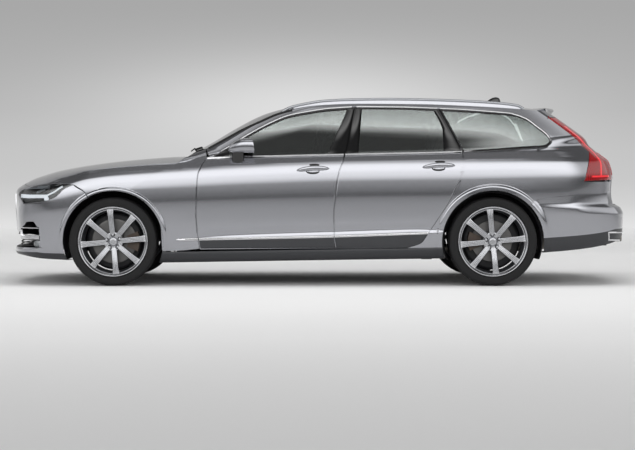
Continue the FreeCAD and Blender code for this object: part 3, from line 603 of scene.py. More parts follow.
roof_line = smooth([(-0.88, 0.960), (-0.844, 0.990), (-0.712, 1.071), (-0.58, 1.160), (-0.379, 1.271),
    (-0.244, 1.326), (-0.04, 1.367), (0.096, 1.386), (0.325, 1.398), (0.6, 1.396), (0.948, 1.383),
    (1.162, 1.372), (1.45, 1.350), (1.62, 1.333)])


def under_roof(x, drop=0.018):
    """The roof line moved down square to itself, which is the top of the glass."""
    slope = (roof_line(x + 0.01) - roof_line(x - 0.01)) / 0.02
    return roof_line(x) - drop * np.sqrt(1 + slope * slope)


# Rear edge of the quarter window's frame, from the waist round its rear corner to the roof.
quarter_rear = [(1.70, 1.066), (1.755, 1.074), (1.790, 1.089), (1.811, 1.116), (1.799, 1.155),
    (1.698, 1.256), (1.640, 1.305), (1.607, 1.322), (1.563, 1.337)]


def over_belt(x):
    """Foot of the glass."""
    return belt(x) + 0.018


# Corners of each window, outer edge of its frame and edge of its glass, in the order low, right,
# high and left, each given by its points.
sash = {
    "front": dict(
        outer=(
            level(belt, -0.846, 0.193),
            upright(middle_cut, middle_top, 1.392),
            level(roof_line, -0.846, 0.281),
            [(-0.846, 0.985), (-0.846, 0.988)]),
        inner=(
            level(over_belt, -0.700, 0.066),
            [(0.066, 1.024), (0.222, 1.372)],
            level(under_roof, -0.700, 0.222),
            [(-0.700, 1.010), (-0.700, 1.055)])),
    "rear": dict(
        outer=(
            level(belt, 0.199, 1.110),
            [(1.110, 1.033), (1.061, 1.145), (1.006, 1.255), (0.943, 1.384)],
            level(roof_line, 0.286, 0.943),
            upright(middle_cut, middle_top, 1.394)),
        inner=(
            level(over_belt, 0.304, 0.966),
            [(0.966, 1.047), (0.966, 1.205), (0.957, 1.245), (0.905, 1.366)],
            level(under_roof, 0.340, 0.905),
            [(0.304, 1.029), (0.340, 1.379)])),
    "quarter": dict(
        outer=(
            level(belt, 1.116, 1.70),
            quarter_rear,
            level(roof_line, 0.950, 1.563),
            [(1.116, 1.033), (1.067, 1.145), (1.012, 1.255), (0.950, 1.383)]),
        inner=(
            level(over_belt, 1.122, 1.70),
            [(1.70, 1.084), (1.745, 1.090), (1.775, 1.104), (1.790, 1.120), (1.782, 1.146),
                (1.684, 1.243), (1.629, 1.290), (1.598, 1.305), (1.553, 1.319)],
            level(under_roof, 0.972, 1.553),
            [(1.122, 1.050), (1.078, 1.145), (1.026, 1.255), (0.972, 1.364)])),
}
side_counts = 60, 36, 60, 36
for window in sash.values():
    for edge in ("outer", "inner"):
        low, right, high, left = (along(line, count) for line, count in zip(window[edge], side_counts))
        window[edge + "_sides"] = low, right, high, left
        window[edge + "_loop"] = closed_loop(low, right, high, left)


def frame_ring(outer, inner, depth=0.030):
    """Window frame: a ring of closed section between two outlines of equally many points."""
    rows = [(outer, depth), (outer, 0.003), (outer * 0.9 + inner * 0.1, 0.0),
        (outer * 0.15 + inner * 0.85, 0.001), (inner, 0.005), (inner, depth), (outer, depth)]
    grid = np.stack([lifted(loop, upper, -under) for loop, under in rows], 1)
    return np.concatenate((grid, grid[:1]), 0)


# columns: leading edge and trailing edge, and on each the heights of foot, bright strip and top
doors = {
    "front": (door_lead, middle_cut, lead_foot, middle_foot, lead_strip, middle_strip, lead_top,
        middle_top),
    "rear": (middle_cut, rear_cut, middle_foot, rear_foot, middle_strip, rear_strip, middle_top,
        rear_top),
}
for name, (lead, tail, foot_a, foot_b, strip_a, strip_b, top_a, top_b) in doors.items():
    bodies = (f"door_{name}_left", f"door_{name}_right")
    foot = along([(lead(foot_a), foot_a), (tail(foot_b), foot_b)], 90)
    strip = level(strip_line, lead(strip_a), tail(strip_b), 90)
    waist = level(belt, lead(top_a), tail(top_b), 90)
    skin_left, skin_right = upright(lead, strip_a, top_a, 60), upright(tail, strip_b, top_b, 60)
    skin = lifted(patch(strip, waist, skin_left, skin_right))
    skirt_left, skirt_right = along(upright(lead, foot_a, strip_a),
        16), along(upright(tail, foot_b, strip_b), 16)
    skirt = lifted(patch(foot, strip, skirt_left, skirt_right))
    skins = both(f"{name}_door_skin", [hemmed(skin, "lrt")], silver_paint, bodies, "body_paint")
    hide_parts(f"{name}_door_left")
    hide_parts(f"{name}_door_right")
    both(f"{name}_door_skirt", [hemmed(skirt, "lrb")], dark_lacquer_and_painted_shade, bodies, "black_plastic")
    whole_left, whole_right = along(upright(lead, foot_a, top_a), 60), along(upright(tail, foot_b, top_b),
        60)
    outline = closed_loop(foot, whole_right, waist, whole_left)
    both(f"{name}_door_box", [stepped(outline, box_rows)], cabin_plastic, bodies, "cabin_trim",
        about=(0.0, -1.2, 0.6))
    strip_path = level(strip_line, lead(strip_a) + strip_end, tail(strip_b) - strip_end, 60)
    both(f"{name}_door_strip", [swept(strip_path, strip_bar)], bright_trim, bodies, "bright_metal")
    window = sash[name]
    window_frame = frame_ring(window["outer_loop"], window["inner_loop"])
    both(f"{name}_window_frame", [window_frame], gloss_black, bodies, "black_trim")
    waist_path = level(lambda x: belt(x) + 0.007, lead(top_a) + 0.006, tail(top_b) - 0.005, 60)
    both(f"{name}_waist_chrome", [swept(waist_path, chrome_bar)], bright_trim, bodies, "bright_metal")
    roof_path = along(window["outer_sides"][2], 60)[1:-1] + (0.0, 0.003)
    both(f"{name}_roof_chrome", [swept(roof_path, chrome_bar, surface=upper)], bright_trim, bodies,
        "bright_metal")

# ---------------------------------------------------------------- glass
# Tempered panes of tinted glass 4 mm thick. Those of the doors stand in the doors behind their
# frames, and the quarter panes are bonded into the body's sides.
def glazed(name, window, bodies, thick=0.004):
    """Both panes of a window, each two sheets behind its frame and the rim between them."""
    low, right, high, left = window["inner_sides"]
    flat = patch(low, high, left, right)
    faces = [lifted(flat, upper, -glass_inset), lifted(flat, upper, -glass_inset - thick)]
    edges = (np.s_[0], np.s_[-1], np.s_[:, 0], np.s_[:, -1])
    rims = [np.stack([sheet[edge] for sheet in faces]) for edge in edges]
    middle = faces[0].reshape(-1, 3).mean(0) + (0.0, 0.002, 0.0)
    return both(name, faces + rims, tinted_glass, bodies, "glass", about=middle)


for name in ("front", "rear"):
    panes = glazed(f"{name}_door_pane", sash[name], (f"door_{name}_left", f"door_{name}_right"))
    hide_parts(f"{name}_glass_left")
    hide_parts(f"{name}_glass_right")
panes = glazed("quarter_pane", sash["quarter"], ("body", "body"))
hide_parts("quarter_glasses")

# ---------------------------------------------------------------- body sides
# Quarter panel, rear pillar and roof side are one painted pressing on each side. The sill below
# the doors is a section in dark paint that is painted shade, with a ledge that catches the light.
bumper_edge = [(2.085, 0.930), (2.053, 0.808), (2.011, 0.708), (2.011, 0.708), (1.686, 0.675)]
arch_rear_foot, arch_rear_head = 187.5, 44.0
quarter_arc = along(arc(rear_x, axle_z, rear_arch, arch_rear_foot, arch_rear_head, 200), 160)
pillar_foot = [(1.700, 1.066), (1.755, 1.068), (1.95, 1.056), (2.112, 1.040)]
shut_x = rear_cut(rear_top)
quarter_out = along(np.concatenate((
    upright(rear_cut, rear_foot, rear_top), [(shut_x, rear_top)], level(belt, shut_x + 0.001, 1.70),
    pillar_foot[1:], pillar_foot[-1:], bumper_edge)), 160)
ruling = np.linspace(0.0, 1.0, 80)[None, :, None] ** 1.7
quarter = quarter_arc[:, None] * (1 - ruling) + quarter_out[:, None] * ruling

pillar_low = along(pillar_foot, 40)
lamp_lead = [(2.112, 1.040), (2.03, 1.118), (1.917, 1.215), (1.797, 1.313), (1.722, 1.368)]
pillar_top = [(1.563, 1.337), (1.722, 1.368)]
rear_pillar = patch(pillar_low, along(pillar_top, 40), along(quarter_rear, 50), along(lamp_lead, 50))

# The roof's side band runs from the windscreen's foot along the top of the windows.
screen_post = [(-0.881, 1.064), (-0.731, 1.149), (-0.612, 1.216), (-0.465, 1.285), (-0.330, 1.345),
    (-0.20, 1.382)]
roof_gutter = [(-0.20, 1.382), (0.0, 1.412), (0.3, 1.424), (0.8, 1.420), (1.2, 1.404), (1.5, 1.386),
    (1.722, 1.368)]
cant_low = along(level(roof_line, -0.846, 1.563, 160), 160)
cant_high = along(screen_post + roof_gutter[1:], 160)
cant_rail = patch(cant_low, cant_high, along([(-0.846, 0.988), screen_post[0]], 12),
    along(pillar_top, 12))
body_panels = both("body_side_skin", [lifted(quarter), lifted(rear_pillar), lifted(cant_rail)],
    silver_paint, "body", "body_paint")
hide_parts("body_sides")
quarter_window = sash["quarter"]
both("quarter_window_frame", [frame_ring(quarter_window["outer_loop"], quarter_window["inner_loop"])],
    gloss_black, "body", "black_trim")
round_rear = along(np.concatenate((level(lambda x: belt(x) + 0.007, 1.122, 1.68),
    [(1.70, 1.073), (1.752, 1.081), (1.784, 1.096), (1.802, 1.118), (1.792, 1.152), (1.693, 1.251),
    (1.636, 1.299), (1.604, 1.315), (1.563, 1.331)], level(roof_line, 1.50, 0.956, 30) + (0.0, 0.003))),
    160)
both("quarter_chrome", [swept(round_rear, chrome_bar)], bright_trim, "body", "bright_metal")

# Section of the sill from its ledge down and under: drop below the ledge, and how far it stands proud.
share = shares(120)
drop = np.array([0.0, 0.0, -0.003, -0.008, -0.020, -0.040, -0.060, -0.078, -0.086, -0.088])
proud = np.array([-0.040, 0.004, 0.010, 0.013, 0.014, 0.012, 0.008, 0.000, -0.020, -0.090])


def arch_reach(radius, z):
    """Half width of an arch at a height."""
    return np.sqrt(np.maximum(radius ** 2 - (z - axle_z) ** 2, 0.0))


# Its ends follow the arches, whose reach depends on the ledge's height, so that is worked out twice.
top = np.interp(share, [0, 1], [0.262, 0.293])
for _ in range(2):
    start = front_x + arch_reach(front_arch, top + drop)
    stop = rear_x - arch_reach(rear_arch, top + drop)
    across = start + (stop - start) * share
    top = sill_line(across)
sill = lifted(placed(across, top + drop), lower)
sill[..., 1] -= proud
both("sill_covers", [sill], dark_lacquer_and_painted_shade, "body", "black_plastic")

# ---------------------------------------------------------------- bonnet, roof and windscreen
# The bonnet is a pressed skin hinged at its rear edge, the roof is welded between the side rails, and
# the windscreen is bonded in. Across the car each is flat in the middle and rolls over at its edges.
nose_reach = 0.59       # place of the bonnet's front corner along the nose's plan outline
across_half = np.linspace(0.0, 1.0, 61)


def round_nose(t, z):
    """Point on the nose, from its plan outline's number t and the height."""
    x = nose_line(z) + nose_back(t)
    return placed(x, -lower_half(x, z) * nose_share(t), z)


def nose_number(x, z):
    """Plan outline number of a place on the nose."""
    return np.interp(x - nose_line(z), nose_backs, nose_fine)


lip_share = nose_share(across_half * nose_reach) / nose_share(nose_reach)
bonnet_lip_z = 0.806 - 0.044 * lip_share ** 3
bonnet_lip = round_nose(across_half * nose_reach, bonnet_lip_z)
corner_x = bonnet_lip[-1, 0]
bonnet_side_line = along([(corner_x, 0.762), (-2.173, 0.773), (-2.077, 0.789)] + bonnet_edge[1:]
    + [(-1.035, 0.998)], 100)
bonnet_side_edge = lifted(bonnet_side_line)
crown_line = smooth([(-2.383, 0.800), (-2.326, 0.832), (-2.216, 0.870), (-2.107, 0.900), (-1.864, 0.944),
    (-1.583, 0.980), (-1.197, 1.012), (-1.055, 1.020)])
crown_x = np.interp(np.linspace(0, 1, 100), [0, 0.02, 1], [bonnet_lip[0, 0], bonnet_lip[0, 0] + 0.012,
    -1.06])
crown = np.stack([crown_x, 0 * crown_x, crown_line(crown_x)], 1)
crown[0] = bonnet_lip[0]
roll = (bonnet_lip - bonnet_lip[0]) / (bonnet_lip[-1] - bonnet_lip[0])
bonnet_grid = crown[None, :, :] + (bonnet_side_edge - crown)[None, :, :] * roll[:, None, :]
bonnet_full = np.concatenate((bonnet_grid[::-1] * (1, -1, 1), bonnet_grid[1:]), 0)
bonnet = piece("bonnet_skin", [hemmed(bonnet_full, gap=0.003)], silver_paint, "bonnet_lid", "body_paint")
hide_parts("bonnet")

screen_side = along(screen_post, 50)
screen_edge = lifted(screen_side)
screen_middle_z = 1.042 + (1.408 - 1.042) * (screen_side[:, 1] - 1.064) / (1.382 - 1.064)
screen_middle = np.stack([screen_line(screen_middle_z), 0 * screen_middle_z, screen_middle_z], 1)


def crowned(middle, edge, power, count=61):
    """A sheet across the car from its centre line to its side edges: the drop follows |u|^power."""
    u = np.linspace(-1.0, 1.0, count)[:, None]
    x = middle[None, :, 0] + (edge[:, 0] - middle[:, 0])[None] * np.abs(u) ** power
    z = middle[None, :, 2] + (edge[:, 2] - middle[:, 2])[None] * np.abs(u) ** power
    return placed(x, -edge[None, :, 1] * u, z)


screen_out = crowned(screen_middle, screen_edge, 2.4)
inside_screen = screen_out.reshape(-1, 3).mean(0) + (0.002, 0, -0.0015)
screen_sheets = [screen_out, screen_out + (0.004, 0, -0.003)]
screen_pane = piece("windscreen_pane", screen_sheets, tinted_glass, "body", "glass", about=inside_screen)
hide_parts("windscreen")

roof_side = along(roof_gutter, 90)
roof_edge = lifted(roof_side)
crown_roof = smooth([(-0.262, 1.408), (-0.1, 1.432), (0.1, 1.447), (0.4, 1.456), (0.8, 1.456),
    (1.2, 1.443), (1.5, 1.425), (1.736, 1.404)])
middle_x = np.interp(roof_side[:, 0], [-0.20, 1.722], [-0.262, 1.736])
roof_middle = np.stack([middle_x, 0 * middle_x, crown_roof(middle_x)], 1)
roof = piece("roof_skin", [crowned(roof_middle, roof_edge, 2.3)], silver_paint, "body", "body_paint")
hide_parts("roof_panel")

# ---------------------------------------------------------------- bumpers
# Painted bumper covers over charcoal valances. Each is laid out in its own plan outline's number
# and the height, so that a straight line there runs round the corner of the car.
def rounded(flat, wrap):
    """Rows of (number, height) laid on the nose or the tail."""
    return wrap(flat[..., 0], flat[..., 1])


def numbered(points):
    """Places (x, z) on the nose as (number, z)."""
    rows = np.array(points, float)
    return np.stack([nose_number(rows[:, 0], rows[:, 1]), rows[:, 1]], 1)


def grown_out(path, centre, rows):
    """A moulding along a level path round a corner of the car: each (out, up) row of a closed
    profile, out being away from the centre in plan and square to the path."""
    run = np.gradient(path, axis=0)
    out = unit(np.stack([run[:, 1], -run[:, 0], 0 * run[:, 0]], 1))
    out *= np.sign(np.sum(out * (path - centre), axis=1, keepdims=True))
    return capped(np.stack([path + out * away + (0, 0, up) for away, up in rows + rows[:1]], 1))


def bar(height, depth, sunk=0.0):
    """Closed profile of a slat with rounded front corners, as (out, up) rows."""
    h, c = height / 2, min(height, depth) * 0.25
    return [(-depth - sunk, -h), (-c - sunk, -h), (-sunk, -h + c), (-sunk, h - c), (-c - sunk, h),
        (-depth - sunk, h)]


nose_centre, tail_centre = np.array([-1.5, 0.0, 0.4]), np.array([1.5, 0.0, 0.4])
grille_number, mouth_number = 0.185, nose_number(-2.170, 0.35)
grille_low, grille_high = 0.425, 0.705
mouth_low, lip_low = 0.292, 0.258
mouth_points = [(nose_number(x, z), z) for x, z in ((-2.325, 0.452), (-2.300, 0.470), (-2.278, 0.494),
    (-2.225, 0.497), (-2.200, 0.474), (-2.186, 0.454))]
mouth_top = smooth([(0.0, 0.385), (0.185, 0.390)] + mouth_points + [(1.0, 0.45)])
lamp_low = [(-1.902, 0.781), (-2.045, 0.683), (-2.160, 0.650), (-2.302, 0.634)]
lamp_tip, lamp_chin = (-2.360, 0.708), (-2.302, 0.634)
brow = smooth(np.stack([across_half * nose_reach, bonnet_lip_z], 1))
tip_number, chin_number = nose_number(*lamp_tip), nose_number(*lamp_chin)
under_lamp = smooth(numbered(lamp_low)[::-1])
bumper_arc = numbered(arc(front_x, axle_z, front_arch, 194.0, 120.0, 60))
mouth_lamp_z = under_lamp(mouth_number)


def spread(low, high, left, right, wrap=round_nose, count=(60, 40)):
    """Patch laid out by outline number and height, then wrapped round the nose or the tail."""
    low, high = along(low, count[0]), along(high, count[0])
    left, right = along(left, count[1]), along(right, count[1])
    return rounded(patch(low, high, left, right), wrap)


beside_lamp = numbered(lamp_low[2::-1])
top_to_arch = [(mouth_number, mouth_lamp_z), *beside_lamp[beside_lamp[:, 0] > mouth_number + 0.01]]
top_to_arch += [top_to_arch[-1], *numbered([(-1.814, 0.722), (-1.791, 0.681)])]
arch_foot = bumper_arc[0]
nose_flank = spread([(mouth_number, lip_low), (mouth_number + 0.06, lip_low - 0.006), arch_foot],
    top_to_arch, [(mouth_number, lip_low), (mouth_number, mouth_lamp_z)], bumper_arc)
under_brow = spread(
    level(mouth_top, grille_number, mouth_number, 30),
    [(grille_number, grille_high), (tip_number, lamp_tip[1]), (tip_number, lamp_tip[1]),
        (chin_number, lamp_chin[1]), (chin_number, lamp_chin[1]), (mouth_number, mouth_lamp_z)],
    [(grille_number, mouth_top(grille_number)), (grille_number, grille_high)],
    [(mouth_number, mouth_top(mouth_number)), (mouth_number, mouth_lamp_z)])
brow_line = level(brow, grille_number, nose_reach, 40)
nose_cap = spread(
    [(grille_number, grille_high), (tip_number, lamp_tip[1])], brow_line,
    [(grille_number, grille_high), brow_line[0]],
    [(tip_number, lamp_tip[1]), (nose_number(-2.33, 0.736), 0.736), brow_line[-1]])
grille_head = level(brow, 0.0, grille_number, 20)
over_grille = spread(
    [(0.0, grille_high), (grille_number, grille_high)], grille_head,
    [(0.0, grille_high), grille_head[0]], [(grille_number, grille_high), grille_head[-1]], count=(30, 20))
sub_low = level(mouth_top, 0.0, grille_number, 20)
under_grille = spread(
    sub_low, [(0.0, grille_low), (grille_number, grille_low)],
    [sub_low[0], (0.0, grille_low)], [sub_low[-1], (grille_number, grille_low)], count=(30, 12))
lip = spread(
    [(0.0, lip_low), (mouth_number, lip_low)], [(0.0, mouth_low), (mouth_number, mouth_low)],
    [(0.0, lip_low), (0.0, mouth_low)], [(mouth_number, lip_low), (mouth_number, mouth_low)],
        count=(90, 12))
nose_painted = both("front_bumper_cover", [nose_flank, under_brow, nose_cap, over_grille, under_grille,
    lip], silver_paint, "body", "body_paint")
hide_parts("front_bumper")

valance_low = [(0.0, 0.240), (mouth_number * 0.6, 0.232), (mouth_number, 0.208),
    numbered([(-1.955, 0.198)])[0]]
valance = spread(valance_low, [(0.0, lip_low), (mouth_number, lip_low),
    (mouth_number + 0.06, lip_low - 0.006), arch_foot], [(0.0, 0.240), (0.0, lip_low)],
    [valance_low[-1], arch_foot], count=(90, 10))
tucked = valance[:, 0] + np.array([0.06, 0.05, 0.004])
valance = np.concatenate((tucked[:, None], valance), 1)
both("front_valance", [valance], dark_lacquer_and_painted_shade, "body", "black_plastic")

# Dark openings behind the nose: a shallow well of black plastic behind the grille and the mouths.
dark_plastic = finish("moulded_black_plastic", "141416", Roughness=0.48)


def drawn_in(loop, inset, stretch):
    """A closed (number, height) outline drawn in by an inset, where stretch is metres to one number."""
    return inward(loop * (stretch, 1.0), inset) / (stretch, 1.0)


def well(loop, wrap, toward, depth):
    """Walls and floor of a recess behind an opening, from its closed outline of (number, z)."""
    rim = rounded(loop, wrap)
    rim = np.concatenate((rim, rim[:1]))
    push = unit((toward - rim) * (1, 1, 0))
    floor = rim + push * depth
    middle = floor.mean(0)
    return np.stack([rim, rim + push * 0.004, floor] + [middle + (floor - middle) * k
        for k in (0.9, 0.6, 0.3, 0.0)], 1)


def box_loop(left, right, low, high, count=30):
    """Closed outline (number, z) between two numbers and two lines of height."""
    numbers = np.linspace(left, right, count)
    low_side = np.stack([numbers, low(numbers) + 0 * numbers], 1)
    high_side = np.stack([numbers, high(numbers) + 0 * numbers], 1)
    return np.concatenate((low_side, along([low_side[-1], high_side[-1]], 8)[1:-1], high_side[::-1],
        along([high_side[0], low_side[0]], 8)[1:-1]))


def mirrored_nose(t, z):
    """Point on the nose for a number on either side of the centre line. Negative numbers are on the right."""
    point = round_nose(np.abs(t), z)
    return point * placed(1, np.sign(t + 1e-12), 1)


grille_loop = box_loop(-grille_number, grille_number, lambda t: grille_low, lambda t: grille_high, 40)
grille_well = well(grille_loop, mirrored_nose, np.array([-1.9, 0, 0.5]), 0.055)
mouth_loop = box_loop(-mouth_number, mouth_number, lambda t: mouth_low, lambda t: mouth_top(np.abs(t)),
    120)
mouth_well = well(mouth_loop, mirrored_nose, np.array([-1.7, 0, 0.5]), 0.07)
piece("nose_wells", [grille_well, mouth_well], dark_plastic, "body", "black_plastic", facing=-1.0,
    about=(-2.2, 0.0, 0.5))

grille_places = np.linspace(-grille_number, grille_number, 81)
slats = []
for height in np.linspace(grille_low + 0.025, grille_high - 0.025, 9):
    path = mirrored_nose(grille_places, height)
    slats.append(grown_out(path, nose_centre, bar(0.010, 0.022, 0.010)))
grille = piece("grille_slats", slats, bright_trim, "body", "bright_metal", about=(-2.4, 0, 0.5))
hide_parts("grille")

rim_loop = box_loop(-grille_number - 0.004, grille_number + 0.004, lambda t: grille_low - 0.006,
    lambda t: grille_high + 0.006, 60)
grille_rim = []
for inset, out in ((0.0, -0.012), (0.0, 0.003), (0.005, 0.006), (0.012, 0.005), (0.017, 0.001),
        (0.017, -0.014)):
    ring = rounded(drawn_in(rim_loop, inset, 3.0), mirrored_nose)
    ring = ring - np.array([1.0, 0.0, 0.0]) * out
    grille_rim.append(np.concatenate((ring, ring[:1])))
piece("grille_rim", [np.stack(grille_rim + grille_rim[:1], 1)], bright_trim, "body", "bright_metal")

blade_numbers = np.linspace(nose_number(-2.345, 0.37), mouth_number - 0.004, 40)
blade = grown_out(round_nose(blade_numbers, 0.374 + 0 * blade_numbers), nose_centre,
    bar(0.034, 0.030, -0.002))
fine = grown_out(round_nose(blade_numbers, 0.447 + 0 * blade_numbers), nose_centre,
    bar(0.009, 0.016, 0.0))
post_z = np.linspace(0.360, 0.442, 12)
post_rows = [(-0.008, -0.012), (-0.008, 0.001), (0.008, 0.001), (0.008, -0.012), (-0.008, -0.012)]
post = np.stack([
    round_nose(blade_numbers[0] + shift + 0 * post_z, post_z) - np.array([1.0, 0.4, 0.0]) * out
    for shift, out in post_rows], 1)
both("mouth_blades", [blade, fine, post], bright_trim, "body", "bright_metal")
mouth_places = np.linspace(-mouth_number, mouth_number, 121)
mesh_bars = []
for height in mouth_low + 0.018 + 0.022 * np.arange(4):
    path = mirrored_nose(mouth_places, height + 0 * mouth_places)
    mesh_bars.append(grown_out(path, nose_centre, bar(0.007, 0.012, 0.022)))
piece("mouth_bars", mesh_bars, dark_plastic, "body", "black_plastic")


# The rear bumper wraps the same way: painted cover, charcoal valance and two bright exhaust frames.
def round_tail(t, z):
    """Point on the tail, from its plan outline's number t, negative on the right, and the height."""
    x = tail_line(z) - tail_back(np.abs(t))
    y = -lower_half(x, z) * tail_share(np.abs(t)) * np.sign(t + 1e-12)
    return placed(x, y, z)


def tail_numbered(points):
    """Places (x, z) on the tail as (number, z)."""
    rows = np.array(points, float)
    return np.stack([np.interp(tail_line(rows[:, 1]) - rows[:, 0], tail_backs, tail_fine), rows[:, 1]], 1)


tail_arc = tail_numbered(arc(rear_x, axle_z, rear_arch, 3.9, 44.0, 40))
tail_cut = tail_numbered([(1.686, 0.675), (2.011, 0.708), (2.053, 0.806)])
gate_number = 0.315
tail_split = [(0.0, 0.440), tail_numbered([(2.33, 0.437)])[0], tail_numbered([(2.22, 0.414)])[0],
    tail_arc[0]]
tail_top = [(0.0, 0.628), (gate_number, 0.628), (gate_number, 0.628), (gate_number + 0.012, 0.806),
    (gate_number + 0.012, 0.806), tail_cut[2], tail_cut[2], tail_cut[1], tail_cut[1], tail_cut[0]]
tail_cover = spread(tail_split, tail_top, [(0.0, 0.440), (0.0, 0.628)],
    np.concatenate((tail_arc, tail_cut[:1])), wrap=round_tail, count=(160, 60))
tail_painted = both("rear_bumper_cover", [tail_cover], silver_paint, "body", "body_paint")
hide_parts("rear_bumper")
tail_under = [(0.0, 0.385), tail_numbered([(2.305, 0.329)])[0], tail_numbered([(1.744, 0.256)])[0]]
tail_valance = spread(tail_under, tail_split, [tail_under[0], tail_split[0]],
    [tail_under[-1], tail_split[-1]], wrap=round_tail, count=(120, 16))
tail_valance = np.concatenate(((tail_valance[:, 0] + np.array([-0.06, 0.05, 0.006]))[:, None],
    tail_valance), 1)
both("rear_valance", [tail_valance], dark_lacquer_and_painted_shade, "body", "black_plastic")

# Bright frames round the exhaust outlets, each a rounded trapezoid set into the valance.
pipe_in, pipe_out = [np.interp(y / (half_width - 0.06), tail_shares, tail_fine) for y in (0.50, 0.79)]
frame_low, frame_high = 0.340, 0.412
frame_loop = np.concatenate((
    along([(pipe_in + 0.012, frame_low), (pipe_out - 0.02, frame_low + 0.008)], 40)[:-1],
        along([(pipe_out - 0.02, frame_low + 0.008), (pipe_out, frame_high)], 14)[:-1],
    along([(pipe_out, frame_high), (pipe_in, frame_high - 0.004)], 40)[:-1],
        along([(pipe_in, frame_high - 0.004), (pipe_in + 0.012, frame_low)], 14)[:-1]))
frame_rows = []
for inset, out in ((-0.004, -0.010), (-0.004, 0.004), (0.002, 0.008), (0.008, 0.006), (0.010, 0.0),
        (0.010, -0.030)):
    ring = rounded(drawn_in(frame_loop, inset, 2.0), round_tail)
    ring = ring + unit((ring - tail_centre) * (1, 1, 0)) * out
    frame_rows.append(np.concatenate((ring, ring[:1])))
both("exhaust_frames", [np.stack(frame_rows, 1)], bright_trim, "body", "bright_metal")
pipe_well = well(drawn_in(frame_loop, 0.009, 2.0), round_tail, np.array([1.6, -0.4, 0.4]), -0.004)
both("exhaust_frame_wells", [pipe_well], dark_plastic, "body", "black_plastic", about=(1.9, -0.5, 0.38))

# ---------------------------------------------------------------- headlamps
# A clear moulded lens, glued to a dark housing that is screwed in between wing, bonnet and bumper. A
# bright light guide lies across it, over a short stem.
# Clear polycarbonate with a hard coat.
clear_lens = finish("clear_polycarbonate_lens", "F2F5F6", Roughness=0.02, IOR=1.5,
    Transmission_Weight=1.0)
# Frosted acrylic light guide, lit from its end: white and faintly glowing.
light_guide = finish("lit_acrylic_light_guide", "F0F2F4", Roughness=0.3, Emission_Strength=0.55,
    Emission_Color=linear("F4F8FF"))

# Vacuum coated reflector: a soft grey mirror.
cast_mirror = finish("aluminised_reflector", "8C8E90", Metallic=1.0, Roughness=0.3)

lamp_high_line = [lamp_tip, (-2.330, 0.736), (corner_x, 0.762), (-2.173, 0.773), (-2.077, 0.788),
    (-2.011, 0.789), (-1.902, 0.781)]
lamp_low_side = along(numbered(lamp_low[::-1]), 60)
lamp_high_side = along(numbered(lamp_high_line), 60)
lamp_left = along([(chin_number, lamp_chin[1]), (tip_number, lamp_tip[1])], 16)
lamp_right = np.repeat(lamp_low_side[-1:], 16, 0)
lamp_flat = patch(lamp_low_side, lamp_high_side, lamp_left, lamp_right)
lens = rounded(lamp_flat, round_nose)
lens_in = -facing_out(lens, nose_centre)
lens_middle, way_in = lens.reshape(-1, 3).mean(0), lens_in.reshape(-1, 3).mean(0)
lens_sheets = [lens + lens_in * 0.001, lens + lens_in * 0.004]
lamp_lens = both(
    "headlamp_lens", lens_sheets, clear_lens, "body", "lamp_clear", about=lens_middle + way_in * 0.0025)
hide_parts("headlamps")
lamp_loop = closed_loop(lamp_low_side, lamp_right, lamp_high_side, lamp_left)
lamp_well = well(lamp_loop, round_nose, np.array([-1.6, -0.2, 0.7]), 0.055)
both("headlamp_well", [lamp_well], dark_plastic, "body", "black_plastic", facing=-1.0, about=lens_middle)


def on_nose(line, count):
    """Path on the nose through side view places."""
    return rounded(along(numbered(line), count), round_nose)


guides = [
    grown_out(on_nose([(-2.338, 0.694), (-2.25, 0.690), (-2.105, 0.692)], 30), nose_centre,
        bar(0.026, 0.014, 0.010)),
    grown_out(on_nose([(-2.112, 0.697), (-2.04, 0.732), (-1.985, 0.765)], 20), nose_centre,
        bar(0.013, 0.012, 0.010)),
    grown_out(on_nose([(-2.132, 0.672), (-2.098, 0.672)], 6), nose_centre, bar(0.024, 0.014, 0.010)),
]
both("headlamp_guides", guides, light_guide, "body", "lamp_clear")
shelf = [grown_out(on_nose([(-2.315, 0.740), (-2.24, 0.748), (-2.10, 0.752)], 24), nose_centre,
    bar(0.030, 0.020, 0.030)),
         grown_out(on_nose([(-2.20, 0.715), (-2.13, 0.735)], 16), nose_centre, bar(0.016, 0.016, 0.030))]
both("headlamp_shelves", shelf, cast_mirror, "body", "bright_metal")

# Fog lamp at the outer end of each mouth: a clear disc over a bright reflector cup.
fog_share = shares(8)
fog_x, fog_z = -2.205, 0.322
fog_ring = np.linspace(0.0, 2 * math.pi, 41)[None, :]


def fog_disc(size, out):
    """Disc on the nose about the fog lamp's place, moved outwards."""
    x, z = fog_x + size * fog_share * np.cos(fog_ring), fog_z + size * 0.92 * fog_share * np.sin(fog_ring)
    spot = rounded(placed(nose_number(x, z), z), round_nose)
    return spot + np.array([-0.5, -0.85, 0.0]) * (out - 0.010 * fog_share[..., None] ** 2)


both("fog_lamp_cup", [fog_disc(0.030, -0.012)], cast_mirror, "body", "bright_metal")
both("fog_lamp_lens", [fog_disc(0.026, -0.004)], clear_lens, "body", "lamp_clear")

# ---------------------------------------------------------------- tail lamps, tailgate and spoiler
# Red lenses climb the rear pillars and reach onto the tailgate, whose skin, glass and black posts lie
# on one surface, drawn to the width at which the body's side ends. The spoiler stands over the glass.

# Red acrylic over a red reflector: deep and glossy, with fine upright ribs inside.
red_lens = mottled(
    "red_acrylic_lens", "5A0508", "A8141A", 52.0, 2.0, "ShaderNodeTexWave",
    Roughness=0.12, Coat_Weight=1.0, Coat_Roughness=0.02)
red_lens.node_tree.nodes["Wave Texture"].bands_direction = "Y"
# Glowing red light guide.
red_guide = finish("red_acrylic_light_guide", "D8202A", Roughness=0.25, Emission_Strength=0.35,
    Coat_Weight=1.0, Emission_Color=linear("E01820"))

gate_low, gate_waist, gate_top = 0.634, 1.085, 1.362


